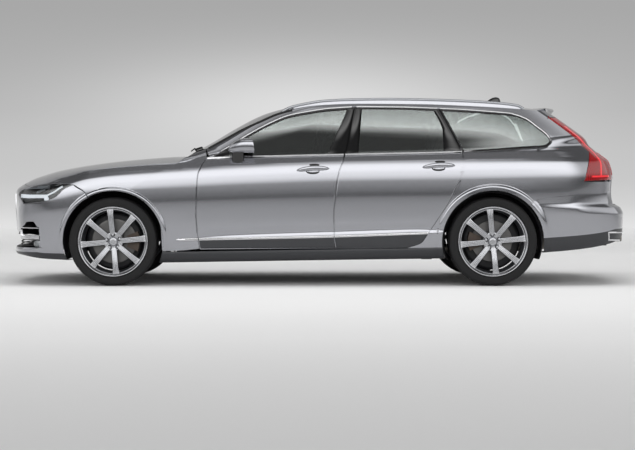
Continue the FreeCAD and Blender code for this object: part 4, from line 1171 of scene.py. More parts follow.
def gate_reach(z):
    """Half width of the tailgate, narrower towards the roof."""
    return np.interp(z, [1.04, 1.38], [0.690, 0.545])


def gate_corner(z):
    """Place where the body's side has drawn in to the tailgate's half width, for a row of heights."""
    z = np.asarray(z, float).reshape(-1, 1)
    place = tail_line(z) - np.linspace(0.35, 0.0, 500)
    over = side(place, z + 0 * place) - gate_reach(z)
    last = np.arange(len(z)), (over > 0).sum(1) - 1
    after = last[0], last[1] + 1
    return place[last] + (place[after] - place[last]) * over[last] / (over[last] - over[after])


def gate_face(share, z):
    """Tailgate surface from the share of its half width (negative on the left) and a row of heights:
    from the centre line's place it runs forwards with |share|^2.2 to the corner."""
    z = np.asarray(z, float)
    tip, corner = tail_line(z), gate_corner(z)
    x = tip + (corner - tip) * np.abs(share) ** 2.2
    return placed(x, share * gate_reach(z), z)


def beside_gate(low, high, count):
    """Line (x, z) on the body's side along the tailgate's edge."""
    z = np.linspace(low, high, count)
    return np.stack([gate_corner(z), z], 1)


lamp_edge, strip_edge = beside_gate(0.818, 1.040, 40), beside_gate(1.040, 1.318, 60)
block = patch(along([(2.053, 0.808), lamp_edge[0]], 40), along([(2.112, 1.040), lamp_edge[-1]], 40),
              along([(2.053, 0.808), (2.090, 0.940), (2.112, 1.040)], 40), lamp_edge)
pillar_strip = patch(along([(2.112, 1.040), strip_edge[0]], 40), along([(1.797, 1.313), strip_edge[-1]],
    40),
                     along(lamp_lead[:4], 60), strip_edge)
cheek = patch(along([(1.797, 1.313), strip_edge[-1]], 12),
    along([(1.722, 1.368), beside_gate(1.364, 1.364, 1)[0]], 12),
              along(lamp_lead[3:], 8), beside_gate(1.318, 1.364, 8))
both("spoiler_cheek", [lifted(cheek)], silver_paint, "body", "body_paint")
tail_lens = both("tail_lamp_lens", [hemmed(lifted(block), "lrb"), hemmed(lifted(pillar_strip), "lrt")],
    red_lens, "body", "lamp_red")
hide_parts("tail_lamps")
both("tail_lamp_guides", [swept(along([(2.196, 0.850), (2.198, 0.94), (2.170, 1.01), (2.135, 1.055),
    (2.075, 1.112), (1.93, 1.243)], 60), [(-0.006, -0.002), (-0.006, 0.002), (0.006, 0.002),
    (0.006, -0.002)]),
     swept(along([(2.120, 0.846), (2.27, 0.850)], 20), [(-0.007, -0.002), (-0.007, 0.002), (0.007, 0.002),
         (0.007, -0.002)])], red_guide, "body", "lamp_red")

plate_half, plate_low, plate_high = 0.275, 0.690, 0.815
gate = gate_face(np.linspace(-1.0, 1.0, 181)[:, None], np.linspace(gate_low, gate_waist, 96))


def ramp(value, edge, soft):
    """0 to 1 over the width soft, centred on an edge."""
    share = np.clip((value - edge) / soft + 0.5, 0.0, 1.0)
    return share * share * (3 - 2 * share)


recess = (1 - ramp(np.abs(gate[..., 1]), plate_half, 0.02)) * ramp(gate[..., 2], plate_low,
    0.02) * (1 - ramp(gate[..., 2], plate_high, 0.012))
gate[..., 0] -= 0.024 * recess
tailgate = piece("tailgate_skin", [hemmed(gate)], silver_paint, "tailgate_lid", "body_paint")
gate_lamp = gate_face(np.linspace(-0.993, -0.632, 40)[:, None], np.linspace(0.856, 1.036, 40))
gate_lamp = gate_lamp + facing_out(gate_lamp, tail_centre) * 0.004
gate_lamps = both("tailgate_lamp_lens", [hemmed(gate_lamp, gap=0.0, depth=0.012)], red_lens,
    "tailgate_lid", "lamp_red")
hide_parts("tailgate_lamps")
# White aluminium sheet with nothing stamped on it.
plate_white = finish("blank_plate_sheet", "D9D9D6", Roughness=0.35)
plate_y, plate_z = np.meshgrid(np.linspace(-0.26, 0.26, 30), np.linspace(0.697, 0.807, 10), indexing="ij")
plate = placed(tail_line(plate_z) - 0.017, plate_y, plate_z)
piece("number_plate", [hemmed(plate, gap=0.0, bend=0.001, depth=0.003)], plate_white, "tailgate_lid",
    "bright_metal")
piece("tailgate_bar", [grown_out(gate_face(np.linspace(-0.66, 0.66, 60), [0.838]), tail_centre,
    bar(0.022, 0.014, -0.008))], bright_trim, "tailgate_lid", "bright_metal")

pane_z = np.linspace(gate_waist, gate_top, 50)
pane_share = np.interp(pane_z, [1.085, 1.368], [0.588, 0.462]) / gate_reach(pane_z)
rear_glass = gate_face(np.linspace(-1.0, 1.0, 81)[:, None] * pane_share, pane_z)
gate_posts = [hemmed(gate_face(way * (pane_share - 0.004 + (1.0 - pane_share + 0.004) * shares(24)),
    pane_z), "rt") for way in (-1, 1)]
piece("tailgate_posts", gate_posts, gloss_black, "tailgate_lid", "black_trim")
rear_pane = piece("tailgate_pane", [rear_glass - (0.003, 0, 0), rear_glass - (0.008, 0, 0)], tinted_glass,
    "tailgate_lid", "glass", about=rear_glass.reshape(-1, 3).mean(0) - (0.0055, 0, 0))
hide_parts("tailgate_glass")

# columns: place and height of the spoiler's section on the centre line, then at its end
blade_middle = np.array([(1.738, 1.401), (1.738, 1.404), (1.83, 1.409), (1.918, 1.407), (1.929, 1.401),
    (1.929, 1.394), (1.915, 1.387), (1.875, 1.352), (1.862, 1.336)])
blade_end = np.array([(1.724, 1.364), (1.724, 1.371), (1.80, 1.389), (1.878, 1.378), (1.889, 1.370),
    (1.888, 1.364), (1.872, 1.356), (1.841, 1.338), (1.818, 1.322)])
u = np.linspace(-1.0, 1.0, 61)[:, None]
section_x = blade_middle[None, :, 0] + (blade_end - blade_middle)[None, :, 0] * np.abs(u) ** 2.6
section_z = blade_middle[None, :, 1] + (blade_end - blade_middle)[None, :, 1] * np.abs(u) ** 2.6
end_y = side(blade_end[:, 0], np.minimum(blade_end[:, 1], 1.372))[None]
blade = placed(section_x, u * np.minimum(end_y, 0.585), section_z)
blade = np.concatenate((blade, blade[:, :1]), 1)
piece("spoiler_blade", [capped(blade)], silver_paint, "tailgate_lid", "body_paint")
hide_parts("tailgate")

# ---------------------------------------------------------------- wheels
# Cast aluminium rims with eight spokes, machined bright on their faces over a grey painted barrel, each
# held by five bolts over a turned brake disc. The low tyres are moulded rubber.
tyre_radius, groove_depth, tread_pitches = 0.343, 0.0065, 66
spokes, first_spoke = 8, 5.5
half_track, bolt_circle = 0.805, 0.054

# Machined aluminium under clear lacquer.
machined_alloy = finish("machined_aluminium", "ABACAF", Metallic=1.0, Roughness=0.22, Coat_Weight=0.4,
    Coat_Roughness=0.05)
# Grey painted cast aluminium in the depth of the wheel.
cast_alloy = finish("grey_painted_cast_aluminium", "55575B", Metallic=0.6, Roughness=0.42)
# Turned grey iron; the fine rings 2 mm apart that the cutting tool leaves are not drawn.
disc_iron = finish("turned_grey_iron", "5E5D5C", Metallic=0.9, Roughness=0.38)
# Vulcanised black rubber: matt and faintly mottled; the tread's browner shade is not drawn.
tyre_black = mottled(
    "vulcanised_black_rubber", "0E0E0F", "151516", 60.0, 3.0, Roughness=0.7, Specular_IOR_Level=0.35)


def turned(rows, count=128):
    """Lathe about the wheel's axle: (radius, distance outwards from the wheel's middle) rows."""
    angle = np.linspace(0.0, 2 * math.pi, count + 1)[:, None]
    radius, out = np.array(rows, float).T[:, None, :]
    return placed(radius * np.cos(angle), -out, radius * np.sin(angle))


tread_rings = np.array([-0.072, -0.026, 0.026, 0.072])


def tread():
    """Tread: four rings of groove and slanted sipes between them, cut by smooth steps into the crown."""
    angle = np.linspace(0.0, 2 * math.pi, 1057)[:, None]
    across = np.sort(np.concatenate([np.linspace(-0.112, 0.112, 15)] + [tread_rings + step
        for step in (-0.0058, -0.0028, 0.0028, 0.0058)]))[None, :]
    crown = tyre_radius - 0.0005 - 0.004 * (across / 0.112) ** 4
    rings = sum(1 - ramp(np.abs(across - ring), 0.0042, 0.003) for ring in tread_rings)
    phase = (angle * tread_pitches / (2 * math.pi) + np.abs(across) * 14.0) % 1.0
    sipes = (1 - ramp(np.abs(phase - 0.5), 0.07, 0.05)) * ramp(np.abs(across), 0.020, 0.01)
    depth = groove_depth * np.clip(rings + 0.8 * sipes, 0.0, 1.0)
    radius = crown - depth * (1 - ramp(np.abs(across), 0.108, 0.006))
    return placed(radius * np.cos(angle), -across, radius * np.sin(angle))


def shoulder_ribs(hand):
    """Sidewall from tread to bead: 240 fine ribs below the shoulder and one raised protector rib."""
    rows = along([(0.3385, 0.112), (0.336, 0.1175), (0.330, 0.1225), (0.318, 0.1265), (0.300, 0.1275),
        (0.285, 0.1255), (0.276, 0.120), (0.272, 0.114), (0.262, 0.106)], 22)
    angle = np.linspace(0.0, 2 * math.pi, 961)[:, None]
    radius, out = rows.T[:, None, :]
    band = ramp(radius, 0.318, 0.003) * (1 - ramp(radius, 0.334, 0.003))
    ribs = 0.0011 * band * (0.5 + 0.5 * np.cos(240 * angle))
    keeper = 0.0022 * (1 - ramp(np.abs(radius - 0.279), 0.003, 0.002))
    out = (out + ribs + keeper) * hand
    return placed((radius + ribs * 0.5) * np.cos(angle), -out, radius * np.sin(angle))


def spoke(turn):
    """One spoke: 24 sections from hub to rim, each a closed outline with three shallow grooves in
    its face. The width grows from 44 to 58 mm and the face dips towards the hub."""
    along_spoke = shares(24)
    radius = 0.050 + (0.252 - 0.050) * along_spoke
    half = 0.0215 + 0.0015 * along_spoke + 0.0075 * np.clip((along_spoke - 0.7) / 0.3, 0, 1) ** 2
    face = 0.088 + 0.010 * np.sin(math.pi * np.clip(along_spoke * 0.9, 0, 1)) + 0.012 * along_spoke
    v = np.linspace(-1.0, 1.0, 41)[None, :]
    grooves = sum(1 - ramp(np.abs(v - g), 0.085, 0.07) for g in (-0.5, 0.0, 0.5))
    fade = np.sin(math.pi * np.clip(along_spoke * 1.02, 0, 1)) ** 0.4
    edge_drop = 0.006 * np.abs(v) ** 10
    out = face - 0.0030 * grooves * fade - edge_drop
    front = placed(radius, half * v, out)
    back = placed(radius, half * v[:, ::-5] * 0.72, face - 0.034)
    ring = np.concatenate((front, back, front[:, :1]), 1)
    angle = math.radians(turn)
    r, t, o = ring[..., 0], ring[..., 1], ring[..., 2]
    return placed(r * math.cos(angle) - t * math.sin(angle), -o, r * math.sin(angle)
        + t * math.cos(angle))


barrel_rows = along([(0.2705, 0.1155), (0.2705, 0.1175), (0.2685, 0.1185), (0.2685, 0.1185),
    (0.262, 0.1165), (0.2555, 0.110), (0.252, 0.100), (0.252, 0.100), (0.249, 0.094), (0.2445, 0.088),
    (0.2425, 0.060), (0.232, 0.020), (0.230, -0.02), (0.236, -0.09), (0.252, -0.110), (0.262, -0.1165),
    (0.2705, -0.1175), (0.2705, -0.108), (0.262, -0.104)], 58)
flange_rows = along([(0.262, 0.106), (0.2705, 0.1085), (0.2712, 0.1165), (0.268, 0.1192),
    (0.2635, 0.1175), (0.2565, 0.1115), (0.2525, 0.1015), (0.2465, 0.0985)], 30)
hub_rows = along([(0.0, 0.0885), (0.020, 0.0885), (0.028, 0.0875), (0.0295, 0.0845), (0.0295, 0.0845),
    (0.0315, 0.0800), (0.036, 0.0835), (0.040, 0.0875), (0.066, 0.0880), (0.074, 0.0855), (0.078, 0.076),
    (0.078, 0.052), (0.070, 0.045), (0.0, 0.045)], 38)
cap_rows = along([(0.0, 0.0915), (0.018, 0.0912), (0.027, 0.0895), (0.0292, 0.0860), (0.0292, 0.080)], 24)


def lugs():
    """Five wheel bolts, each a cup with a domed head, 54 mm from the axle."""
    cups = []
    for k in range(5):
        angle = math.radians(94 + 72 * k)
        cup = turned(along([(0.0115, 0.0892), (0.0105, 0.0885), (0.0095, 0.0880), (0.0085, 0.0905),
            (0.006, 0.0925), (0.0, 0.0930)], 14), 24)
        cups.append(cup + bolt_circle * np.array([math.cos(angle), 0.0, math.sin(angle)]))
    return cups


def bolt_shade_rings():
    """Painted shade round each bolt: a shallow dark ring that dips towards the bolt, for the shade in its
    countersink.
    """
    ring = turned([(0.0185, 0.0884), (0.0182, 0.0893), (0.0165, 0.0893), (0.0115, 0.0886)], 32)
    angles = np.radians(94 + 72 * np.arange(5))
    return [ring + bolt_circle * np.array([math.cos(angle), 0.0, math.sin(angle)]) for angle in angles]


def brake_disc(radius):
    """Ventilated disc with its hat, as a lathe outline."""
    return [turned(along([(0.0, 0.040), (0.060, 0.040), (0.074, 0.036), (0.078, 0.010), (0.078, 0.010),
        (0.082, 0.0045), (0.082, 0.0045), (radius - 0.002, 0.0045), (radius, 0.003), (radius, -0.006),
        (radius - 0.006, -0.008), (radius - 0.006, -0.016), (radius, -0.018), (radius, -0.024),
        (radius - 0.002, -0.0255), (0.082, -0.0255), (0.070, -0.020), (0.0, -0.020)], 56))]


# Pressed steel splash shield behind each disc, black from its electrocoat and lightly dusty.
shield_coat = mottled("black_electrocoated_steel", "151618", "242528", 90.0, 2.0, Roughness=0.55)
shield_rows = [(0.078, -0.034), (0.205, -0.034), (0.211, -0.0365), (0.222, -0.052), (0.224, -0.052),
    (0.212, -0.0385), (0.205, -0.036), (0.078, -0.036), (0.078, -0.034)]

# columns: wheel, axle x, brake disc radius
for wheel, axle_x, disc in (("front", front_x, 0.172), ("rear", rear_x, 0.160)):
    for hand, way in (("left", 1.0), ("right", -1.0)):
        mirror = np.array([1.0, way, 1.0])
        centre = np.array([axle_x, -half_track * way, axle_z])
        body = f"wheel_{wheel}_{hand}"
        face = [turned(flange_rows), turned(hub_rows), turned(cap_rows, 48)]
        parts = [
            ("tyre", [tread(), shoulder_ribs(1.0), shoulder_ribs(-1.0)], tyre_black, "tyre_rubber"),
            ("rim_barrel", [turned(barrel_rows)], cast_alloy, "alloy"),
            ("rim_face", face + [spoke(first_spoke + 360 / spokes * k) for k in range(spokes)],
                machined_alloy, "alloy"),
            ("bolts", lugs(), machined_alloy, "iron"),
            # The dark rings round the bolts are painted shade.
            ("bolt_shade_rings", bolt_shade_rings(), dark_plastic, "black_plastic"),
            ("brake_disc", brake_disc(disc), disc_iron, "iron"),
        ]
        for part, grids, material, slot in parts:
            piece(
                f"{wheel}_{part}_{hand}", [grid * mirror + centre for grid in grids], material, body,
                    slot,
                about=(axle_x, -half_track, axle_z), sharp=34.0)
        shield = turned(shield_rows) * mirror + centre
        carrier = f"steer_{hand}" if wheel == "front" else "body"
        piece(
            f"{wheel}_splash_shield_{hand}", [shield], shield_coat, carrier, "iron",
            about=(axle_x, 0.04 - half_track, axle_z))
        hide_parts(f"{wheel}_tyre_{hand}")
        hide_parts(f"{wheel}_rim_{hand}")

# ---------------------------------------------------------------- wheel arch liners
# A moulded black liner closes each arch round the tyre, from the bumper to the sill. It is clipped to
# the arch's edge.
liner_angle = np.linspace(math.radians(-24.0), math.radians(204.0), 90)[:, None]
# columns: axle place, inner reach, radius, radius of the inner edge; the steered wheels need more room
for name, axle_x, inner, liner_radius, inner_radius in (("front", front_x, 0.50, 0.388, 0.388),
        ("rear", rear_x, 0.60, 0.376, 0.352)):
    rows = [(0.388, 0.880), (liner_radius + 0.002, 0.872), (liner_radius, 0.80), (liner_radius, inner),
        (inner_radius, inner - 0.02)]
    radius, out = np.array(rows).T[:, None, :]
    liner = placed(axle_x + radius * np.cos(liner_angle), -out,
        np.maximum(axle_z + radius * np.sin(liner_angle), 0.205))
    both(f"{name}_arch_liner_band", [liner], dark_plastic, "body", "black_plastic", facing=-1.0,
        about=(axle_x, -0.75, axle_z))

# The front end of the bright strip sits on the wing and tapers to a point.
wing_strip = level(strip_line, -1.112, door_lead(lead_strip) - 0.004, 40)
taper = np.clip((wing_strip[:, 0] + 1.112) / 0.05, 0.0, 1.0)[:, None] ** 0.6
nib = swept(wing_strip, strip_bar)
nib_middle = lifted(np.concatenate((wing_strip[:1], wing_strip, wing_strip[-1:])))[:, None]
nib = nib_middle + (nib - nib_middle) * np.concatenate((taper[:1], taper, taper[-1:]))[:, None]
both("wing_strip", [nib], bright_trim, "body", "bright_metal")

# ---------------------------------------------------------------- mirrors, handles and roof rails
# Painted mirror shells stand on black feet at the doors' corners, painted pull handles bridge painted
# scoops ringed with painted shade, and slim aluminium rails are bolted along the roof.
# Silvered mirror glass.
mirror_silver = finish("silvered_mirror_glass", "C9CED0", Metallic=1.0, Roughness=0.02)
# Satin anodised aluminium for the roof rails.
rail_alloy = finish("satin_anodised_aluminium", "A4A6AA", Metallic=0.9, Roughness=0.38)

turn_angle = np.linspace(0.0, 2 * math.pi, 65)[None, :]


def rounded_ring(power):
    """Unit rounded rectangle: a superellipse as two rows of across and up."""
    c, q = np.cos(turn_angle), np.sin(turn_angle)
    return np.sign(c) * np.abs(c) ** (2 / power), np.sign(q) * np.abs(q) ** (2 / power)


def mirror_shell():
    """Mirror housing: rounded rectangles along the car. The top climbs from the front as a quarter
    ellipse, the foot stays level, and the width swells the same way."""
    s = np.concatenate((np.linspace(0.0, 0.12, 10), np.linspace(0.16, 1.0, 18)))[:, None]
    swell = np.sqrt(np.maximum(1 - (1 - np.minimum(s / 0.85, 1.0)) ** 2.2, 0.0))
    across, up = rounded_ring(3.2)
    low = 1.028 + 0.016 * (1 - np.minimum(s / 0.30, 1.0)) ** 2
    high = 1.046 + 0.097 * swell
    x = -0.702 + 0.184 * s + 0.010 * across * swell - 0.008 * s * up
    y = -0.934 - (0.014 + 0.0595 * swell) * across
    z = (low + high) / 2 + (high - low) / 2 * up * (1 - 0.10 * across)
    return placed(x, y, z)


shell = mirror_shell()
back = shell[-1]
middle = back.mean(0)
lip_rows = ((0.015, 0.0035), (0.06, 0.003), (0.075, -0.004), (0.08, -0.014))
lip_in = [back + (middle - back) * k + np.array([dx, 0, 0]) for k, dx in lip_rows]
shell = np.concatenate((shell[:1].mean(1, keepdims=True) + 0 * shell[:1], shell, np.stack(lip_in)))
glass_rows = []
for k in (0.0, 0.3, 0.7):
    bulge = np.array([0.006 if k else 0.0, 0, 0]) * (1 - k)
    glass_rows.append(lip_in[-1] + (middle - lip_in[-1]) * k + bulge)
glass_rows.append(np.broadcast_to(middle - (0.010, 0, 0), back.shape))
foot_up = shares(14)
across, up = rounded_ring(2.6)
foot_x = -0.632 + 0.006 * foot_up + (0.050 - 0.006 * foot_up) * across
foot_y = -0.868 - 0.060 * foot_up ** 1.2 + (0.030 - 0.006 * foot_up) * up
foot_z = 0.942 + 0.100 * foot_up + 0.012 * up * (1 - foot_up)
foot = placed(foot_x, foot_y, foot_z)
bodies = ("door_front_left", "door_front_right")
shells = both("mirror_shell", [shell], silver_paint, bodies, "body_paint", about=(-0.6, -0.936, 1.085))
both("mirror_glass", [np.stack(glass_rows)], mirror_silver, bodies, "bright_metal",
    about=(-0.7, -0.936, 1.085))
both("mirror_foot", [foot], gloss_black, bodies, "black_trim", about=(-0.63, -0.90, 0.99))
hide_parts("mirror_left")
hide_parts("mirror_right")


def dish(x, z, reach, tall, proud):
    """Shallow oval dish on the door's skin: it turns in as the fourth power of the share to its rim."""
    across, up = rounded_ring(2.3)
    rim = shares(8)
    flat = placed(x + reach * across * rim, z + tall * up * rim)
    return lifted(flat, lower, proud) + placed(0 * rim, 0.0012 * rim ** 4, 0 * rim)


# Each handle is a bowed grip before a painted scoop, ringed by a dark oval of painted shade for its
# recess, under the lock's cap.
# columns: door, start of the grip, height
for name, start, base in (("front", -0.175, 0.876), ("rear", 0.797, 0.900)):
    bodies = (f"door_{name}_left", f"door_{name}_right")
    s = shares(48)
    x = start + 0.252 * s
    z = base + 0.018 + 0.014 * s + 0.010 * np.sin(math.pi * s)
    skin_y = -lower(x, z)
    ends = 1 - (2 * s - 1) ** 8
    half = 0.0155 * np.maximum(1 - np.abs(2 * s - 1) ** 3.2, 0.0) ** 0.75 + 0.0025
    across, up = rounded_ring(2.3)
    grip = placed(x, skin_y - 0.003 - 0.013 * ends + 0.0085 * across, z + half * up)
    both(f"{name}_door_handle", [capped(grip)], silver_paint, bodies, "body_paint")
    cup_x = start + 0.125
    # The dark cup is painted shade, round the scoop where the recess would be.
    cup = dish(cup_x, base + 0.012, 0.052, 0.024, 0.0016)
    scoop = dish(cup_x, base + 0.0155, 0.046, 0.0185, 0.0022)
    lock = dish(cup_x + 0.012, base + 0.060, 0.040, 0.0095, 0.0016)
    both(f"{name}_handle_cup", [cup], dark_plastic, bodies, "black_plastic")
    both(f"{name}_handle_scoop", [scoop], silver_paint, bodies, "body_paint")
    both(f"{name}_lock_cap", [lock], dark_plastic, bodies, "black_plastic")

rail_top = [(-0.308, 1.360), (-0.238, 1.402), (-0.124, 1.431), (0.046, 1.457), (0.259, 1.467),
    (0.542, 1.471), (0.827, 1.467), (1.110, 1.458), (1.394, 1.442), (1.578, 1.419), (1.628, 1.392)]
path = along(rail_top, 140)
run = unit(np.gradient(path, axis=0))
normal = np.stack([-run[:, 1], run[:, 0]], 1)
across, up = rounded_ring(2.8)
rail = placed(
    path[:, :1] + normal[:, :1] * (0.011 * (up - 1)),
    -0.592 + 0.013 * across,
    path[:, 1:] + normal[:, 1:] * (0.011 * (up - 1)))
base_top = path - normal * 0.014
base_low = np.stack([path[:, 0], np.interp(path[:, 0], roof_side[:, 0], roof_side[:, 1]) - 0.012], 1)
base_low[:, 1] = np.minimum(base_low[:, 1], base_top[:, 1] - 0.002)
web_rows = ((base_low, -0.604), (base_top, -0.598), (base_top, -0.586), (base_low, -0.580))
web = np.stack([placed(row[:, 0], np.full(len(row), y), row[:, 1]) for row, y in web_rows], 1)
rails = both("roof_rails", [capped(rail)], rail_alloy, "body", "rail_metal")
both("roof_rail_webs", [web], silver_paint, "body", "body_paint", about=(0.6, -0.592, 1.42))
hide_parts("roof_rails")

# Aerial fin: rounded sections that shrink upwards and lean to the rear.
s = shares(16)
across, up = rounded_ring(2.2)
size = np.sqrt(np.maximum(1 - s ** 1.6, 0.0))
fin = placed(1.430 + 0.040 * s + 0.072 * size * across, 0.020 * size * up, 1.424 + 0.084 * s)
piece("aerial_fin", [fin], gloss_black, "body", "black_trim", about=(1.43, 0, 1.45))

# ---------------------------------------------------------------- openings, seals and windscreen edge
# Each door shuts on a painted flange, the folded edge of the body's side, with a rubber seal pushed
# onto it. The screen is bonded under a black rubber edge.
def front_foot_line(x):
    """Foot of the front door's opening, from its leading edge to the centre pillar."""
    return lead_foot + (middle_foot - lead_foot) * (x + 0.92) / 1.05


opening = {
    "front": closed_loop(
        along(level(front_foot_line, door_lead(lead_foot), middle_cut(middle_foot), 60), 60),
        along(upright(middle_cut, middle_foot, 1.387, 60), 90),
        along(level(roof_line, -0.846, 0.281, 60), 60),
        along(np.concatenate((upright(door_lead, lead_foot, 0.982), [(-0.846, 0.986)])), 60)),
    "rear": closed_loop(
        along(level(lambda x: middle_foot + 0 * x, middle_cut(middle_foot), rear_cut(rear_foot), 60), 60),
        along(np.concatenate((upright(rear_cut, rear_foot, rear_top, 60),
            [(1.110, 1.036), (1.061, 1.145), (1.006, 1.255), (0.946, 1.380)])), 90),
        along(level(roof_line, 0.286, 0.946, 60), 60),
        along(upright(middle_cut, middle_foot, 1.390, 60), 90)),
}
flange_rows = [(-0.004, 0.026), (0.010, 0.026), (0.026, 0.028), (0.030, 0.034), (0.031, 0.100),
    (0.026, 0.112), (-0.004, 0.114), (-0.004, 0.026)]
for name, loop in opening.items():
    both(f"{name}_door_flange", [stepped(loop, flange_rows, filled=False)], silver_paint, "body",
        "body_paint", about=(0.0, -0.93, 0.7))
    bead = [(0.014, 0.026), (0.015, 0.021), (0.020, 0.019), (0.025, 0.021), (0.026, 0.028),
        (0.020, 0.030), (0.014, 0.026)]
    both(f"{name}_door_seal", [stepped(loop, bead, filled=False)], seal_rubber, "body", "black_trim",
        about=(0.0, -0.93, 0.7))

screen_bead = [(-0.012, -0.003), (-0.012, 0.0015), (-0.004, 0.0035), (0.004, 0.0025), (0.006, -0.003)]
both("screen_side_seal", [swept(screen_side[1:-1] + (0.004, -0.002), screen_bead)], seal_rubber, "body",
    "black_trim")
top_path = screen_out[:, -1]
head = [np.stack([top_path[:, 0] + dx, top_path[:, 1], top_path[:, 2] + dz], 1)
    for dx, dz in ((-0.022, -0.010), (-0.021, -0.004), (-0.006, 0.0035), (0.004, 0.004), (0.008, -0.004),
    (-0.022, -0.010))]
piece("screen_head_seal", [np.stack(head, 1)], seal_rubber, "body", "black_trim",
    about=(-0.25, 0.0, 1.38))

# ---------------------------------------------------------------- cowl and wipers
# A moulded black grille closes the gap between bonnet and screen, and the two arms of the wipers lie
# along the screen's foot with their rubber blades.
cowl_middle = np.array([(-1.085, 0.0, 0.990), (-1.066, 0.0, 1.006), (-1.045, 0.0, 1.022),
    (-1.022, 0.0, 1.040)])
cowl_edge = lifted(np.array([(-1.046, 0.975), (-1.020, 0.994), (-0.95, 1.028), (-0.885, 1.058)]))
cowl_edge[:, 1] += 0.012
cowl = piece("cowl_grille", [crowned(cowl_middle, cowl_edge, 2.4)], dark_plastic, "body", "black_plastic")
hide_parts("scuttle")


def on_screen(places, off):
    """Points a little off the windscreen, from (share across, share up) rows."""
    u, v = np.array(places, float).T
    up = v * (len(screen_middle) - 1)
    low = np.clip(up.astype(int), 0, len(screen_middle) - 2)
    share = (up - low)[:, None]
    middle = screen_middle[low] * (1 - share) + screen_middle[low + 1] * share
    edge = screen_edge[low] * (1 - share) + screen_edge[low + 1] * share
    power = np.abs(u) ** 2.4
    x = middle[:, 0] + (edge[:, 0] - middle[:, 0]) * power
    z = middle[:, 2] + (edge[:, 2] - middle[:, 2]) * power
    return np.stack([x - 0.6 * off, -edge[:, 1] * u, z + 0.8 * off], 1)


def rod(path, wide, high):
    """Closed bar along a path in space, an upright oval in section."""
    angle = np.linspace(0.0, 2 * math.pi, 13)
    run = unit(np.gradient(path, axis=0))
    across = unit(np.cross(run, (-0.6, 0.0, 0.8)))
    up = np.cross(across, run)
    grid = path[:, None] + across[:, None] * (wide * np.cos(angle))[None, :, None] + up[:,
        None] * (high * np.sin(angle))[None, :, None]
    return np.concatenate((path[:1, None] + 0 * grid[:1], grid, path[-1:, None] + 0 * grid[-1:]))


wipers = []
for start, end, pivot in ((-0.80, -0.02, -0.36), (-0.10, 0.66, 0.30)):
    blade_line = on_screen(along([(start, 0.035), ((start + end) / 2, 0.030), (end, 0.045)], 40), 0.010)
    wipers.append(rod(blade_line, 0.005, 0.009))
    arm_line = on_screen(along([(pivot + 0.22, -0.0), (pivot + 0.10, 0.02), (pivot, 0.032)], 16), 0.022)
    wipers.append(rod(arm_line, 0.008, 0.005))
piece("wipers", wipers, seal_rubber, "body", "black_trim")

# ---------------------------------------------------------------- underside and cabin shell
# The frame's own parts under the body keep their shapes and take real finishes: sprayed coating on the
# pressed floor and subframe, cast iron, and the bare metal of exhaust and engine.
under_coat = finish("sprayed_underbody_coat", "1C1C1D", Roughness=0.85)
# Cast iron with a thin skin of rust.
cast_iron = mottled("cast_iron", "4A4642", "5E5148", 40.0, 4.0, Metallic=0.7, Roughness=0.6)
# Aluminised steel of the exhaust, dulled by heat.
exhaust_steel = finish("aluminised_exhaust_steel", "8A8782", Metallic=0.95, Roughness=0.42)
# Cast aluminium of engine and gearbox.
engine_alloy = finish("sand_cast_aluminium", "85878A", Metallic=0.8, Roughness=0.55)
# Black leather with a fine grain.
black_leather = finish("grained_black_leather", "2B2A2A", Roughness=0.5)
tree = black_leather.node_tree
spot = add(tree, "ShaderNodeTexCoord").outputs["Object"]
grain = add(tree, "ShaderNodeTexVoronoi", {"Vector": spot, "Scale": 420.0}).outputs["Distance"]
bump = add(tree, "ShaderNodeBump", {"Height": grain, "Strength": 0.25, "Distance": 0.0006})
tree.links.new(bump.outputs[0], tree.nodes["Principled BSDF"].inputs["Normal"])

# columns: node, finish
for node, material in (
    ("floor_pan", under_coat), ("arch_liners", under_coat), ("front_subframe", under_coat),
        ("rear_axle", cast_iron),
    ("knuckle_left", cast_iron), ("knuckle_right", cast_iron), ("exhaust", exhaust_steel),
        ("engine_block", engine_alloy),
):
    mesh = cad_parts[node].data
    mesh.materials.clear()
    mesh.materials.append(material)

# ---------------------------------------------------------------- inner panels
# A beaded pressing is hemmed to the bonnet and a moulded trim closes the tailgate. Dark felt linings
# are clipped behind the roof and the cabin's sides.
# Charcoal needle felt: a matt, slightly mottled nap.
# Fibres are 0.02 mm; the mottle is drawn at 6 mm, the finest that shows.
lining_felt = mottled(
    "charcoal_needle_felt", "232426", "34353A", 170.0, 3.0, Roughness=0.95, Specular_IOR_Level=0.2)

inner = bonnet_full[3:-3, 3:-3]
u_in = np.linspace(-1.0, 1.0, inner.shape[0])[:, None]
v_in = np.linspace(0.0, 1.0, inner.shape[1])[None, :]
beads = sum(np.exp(-((np.abs(u_in) - at) / 0.05) ** 2) for at in (0.0, 0.38, 0.76)) * np.sin(math.pi
    * v_in) ** 0.5
bonnet_frame = inner + placed(0 * beads, 0 * beads, -0.024 + 0.012 * beads)
piece("bonnet_frame", [bonnet_frame], silver_paint, "bonnet_lid", "body_paint", facing=-1.0,
    about=(-1.8, 0.0, 2.0))

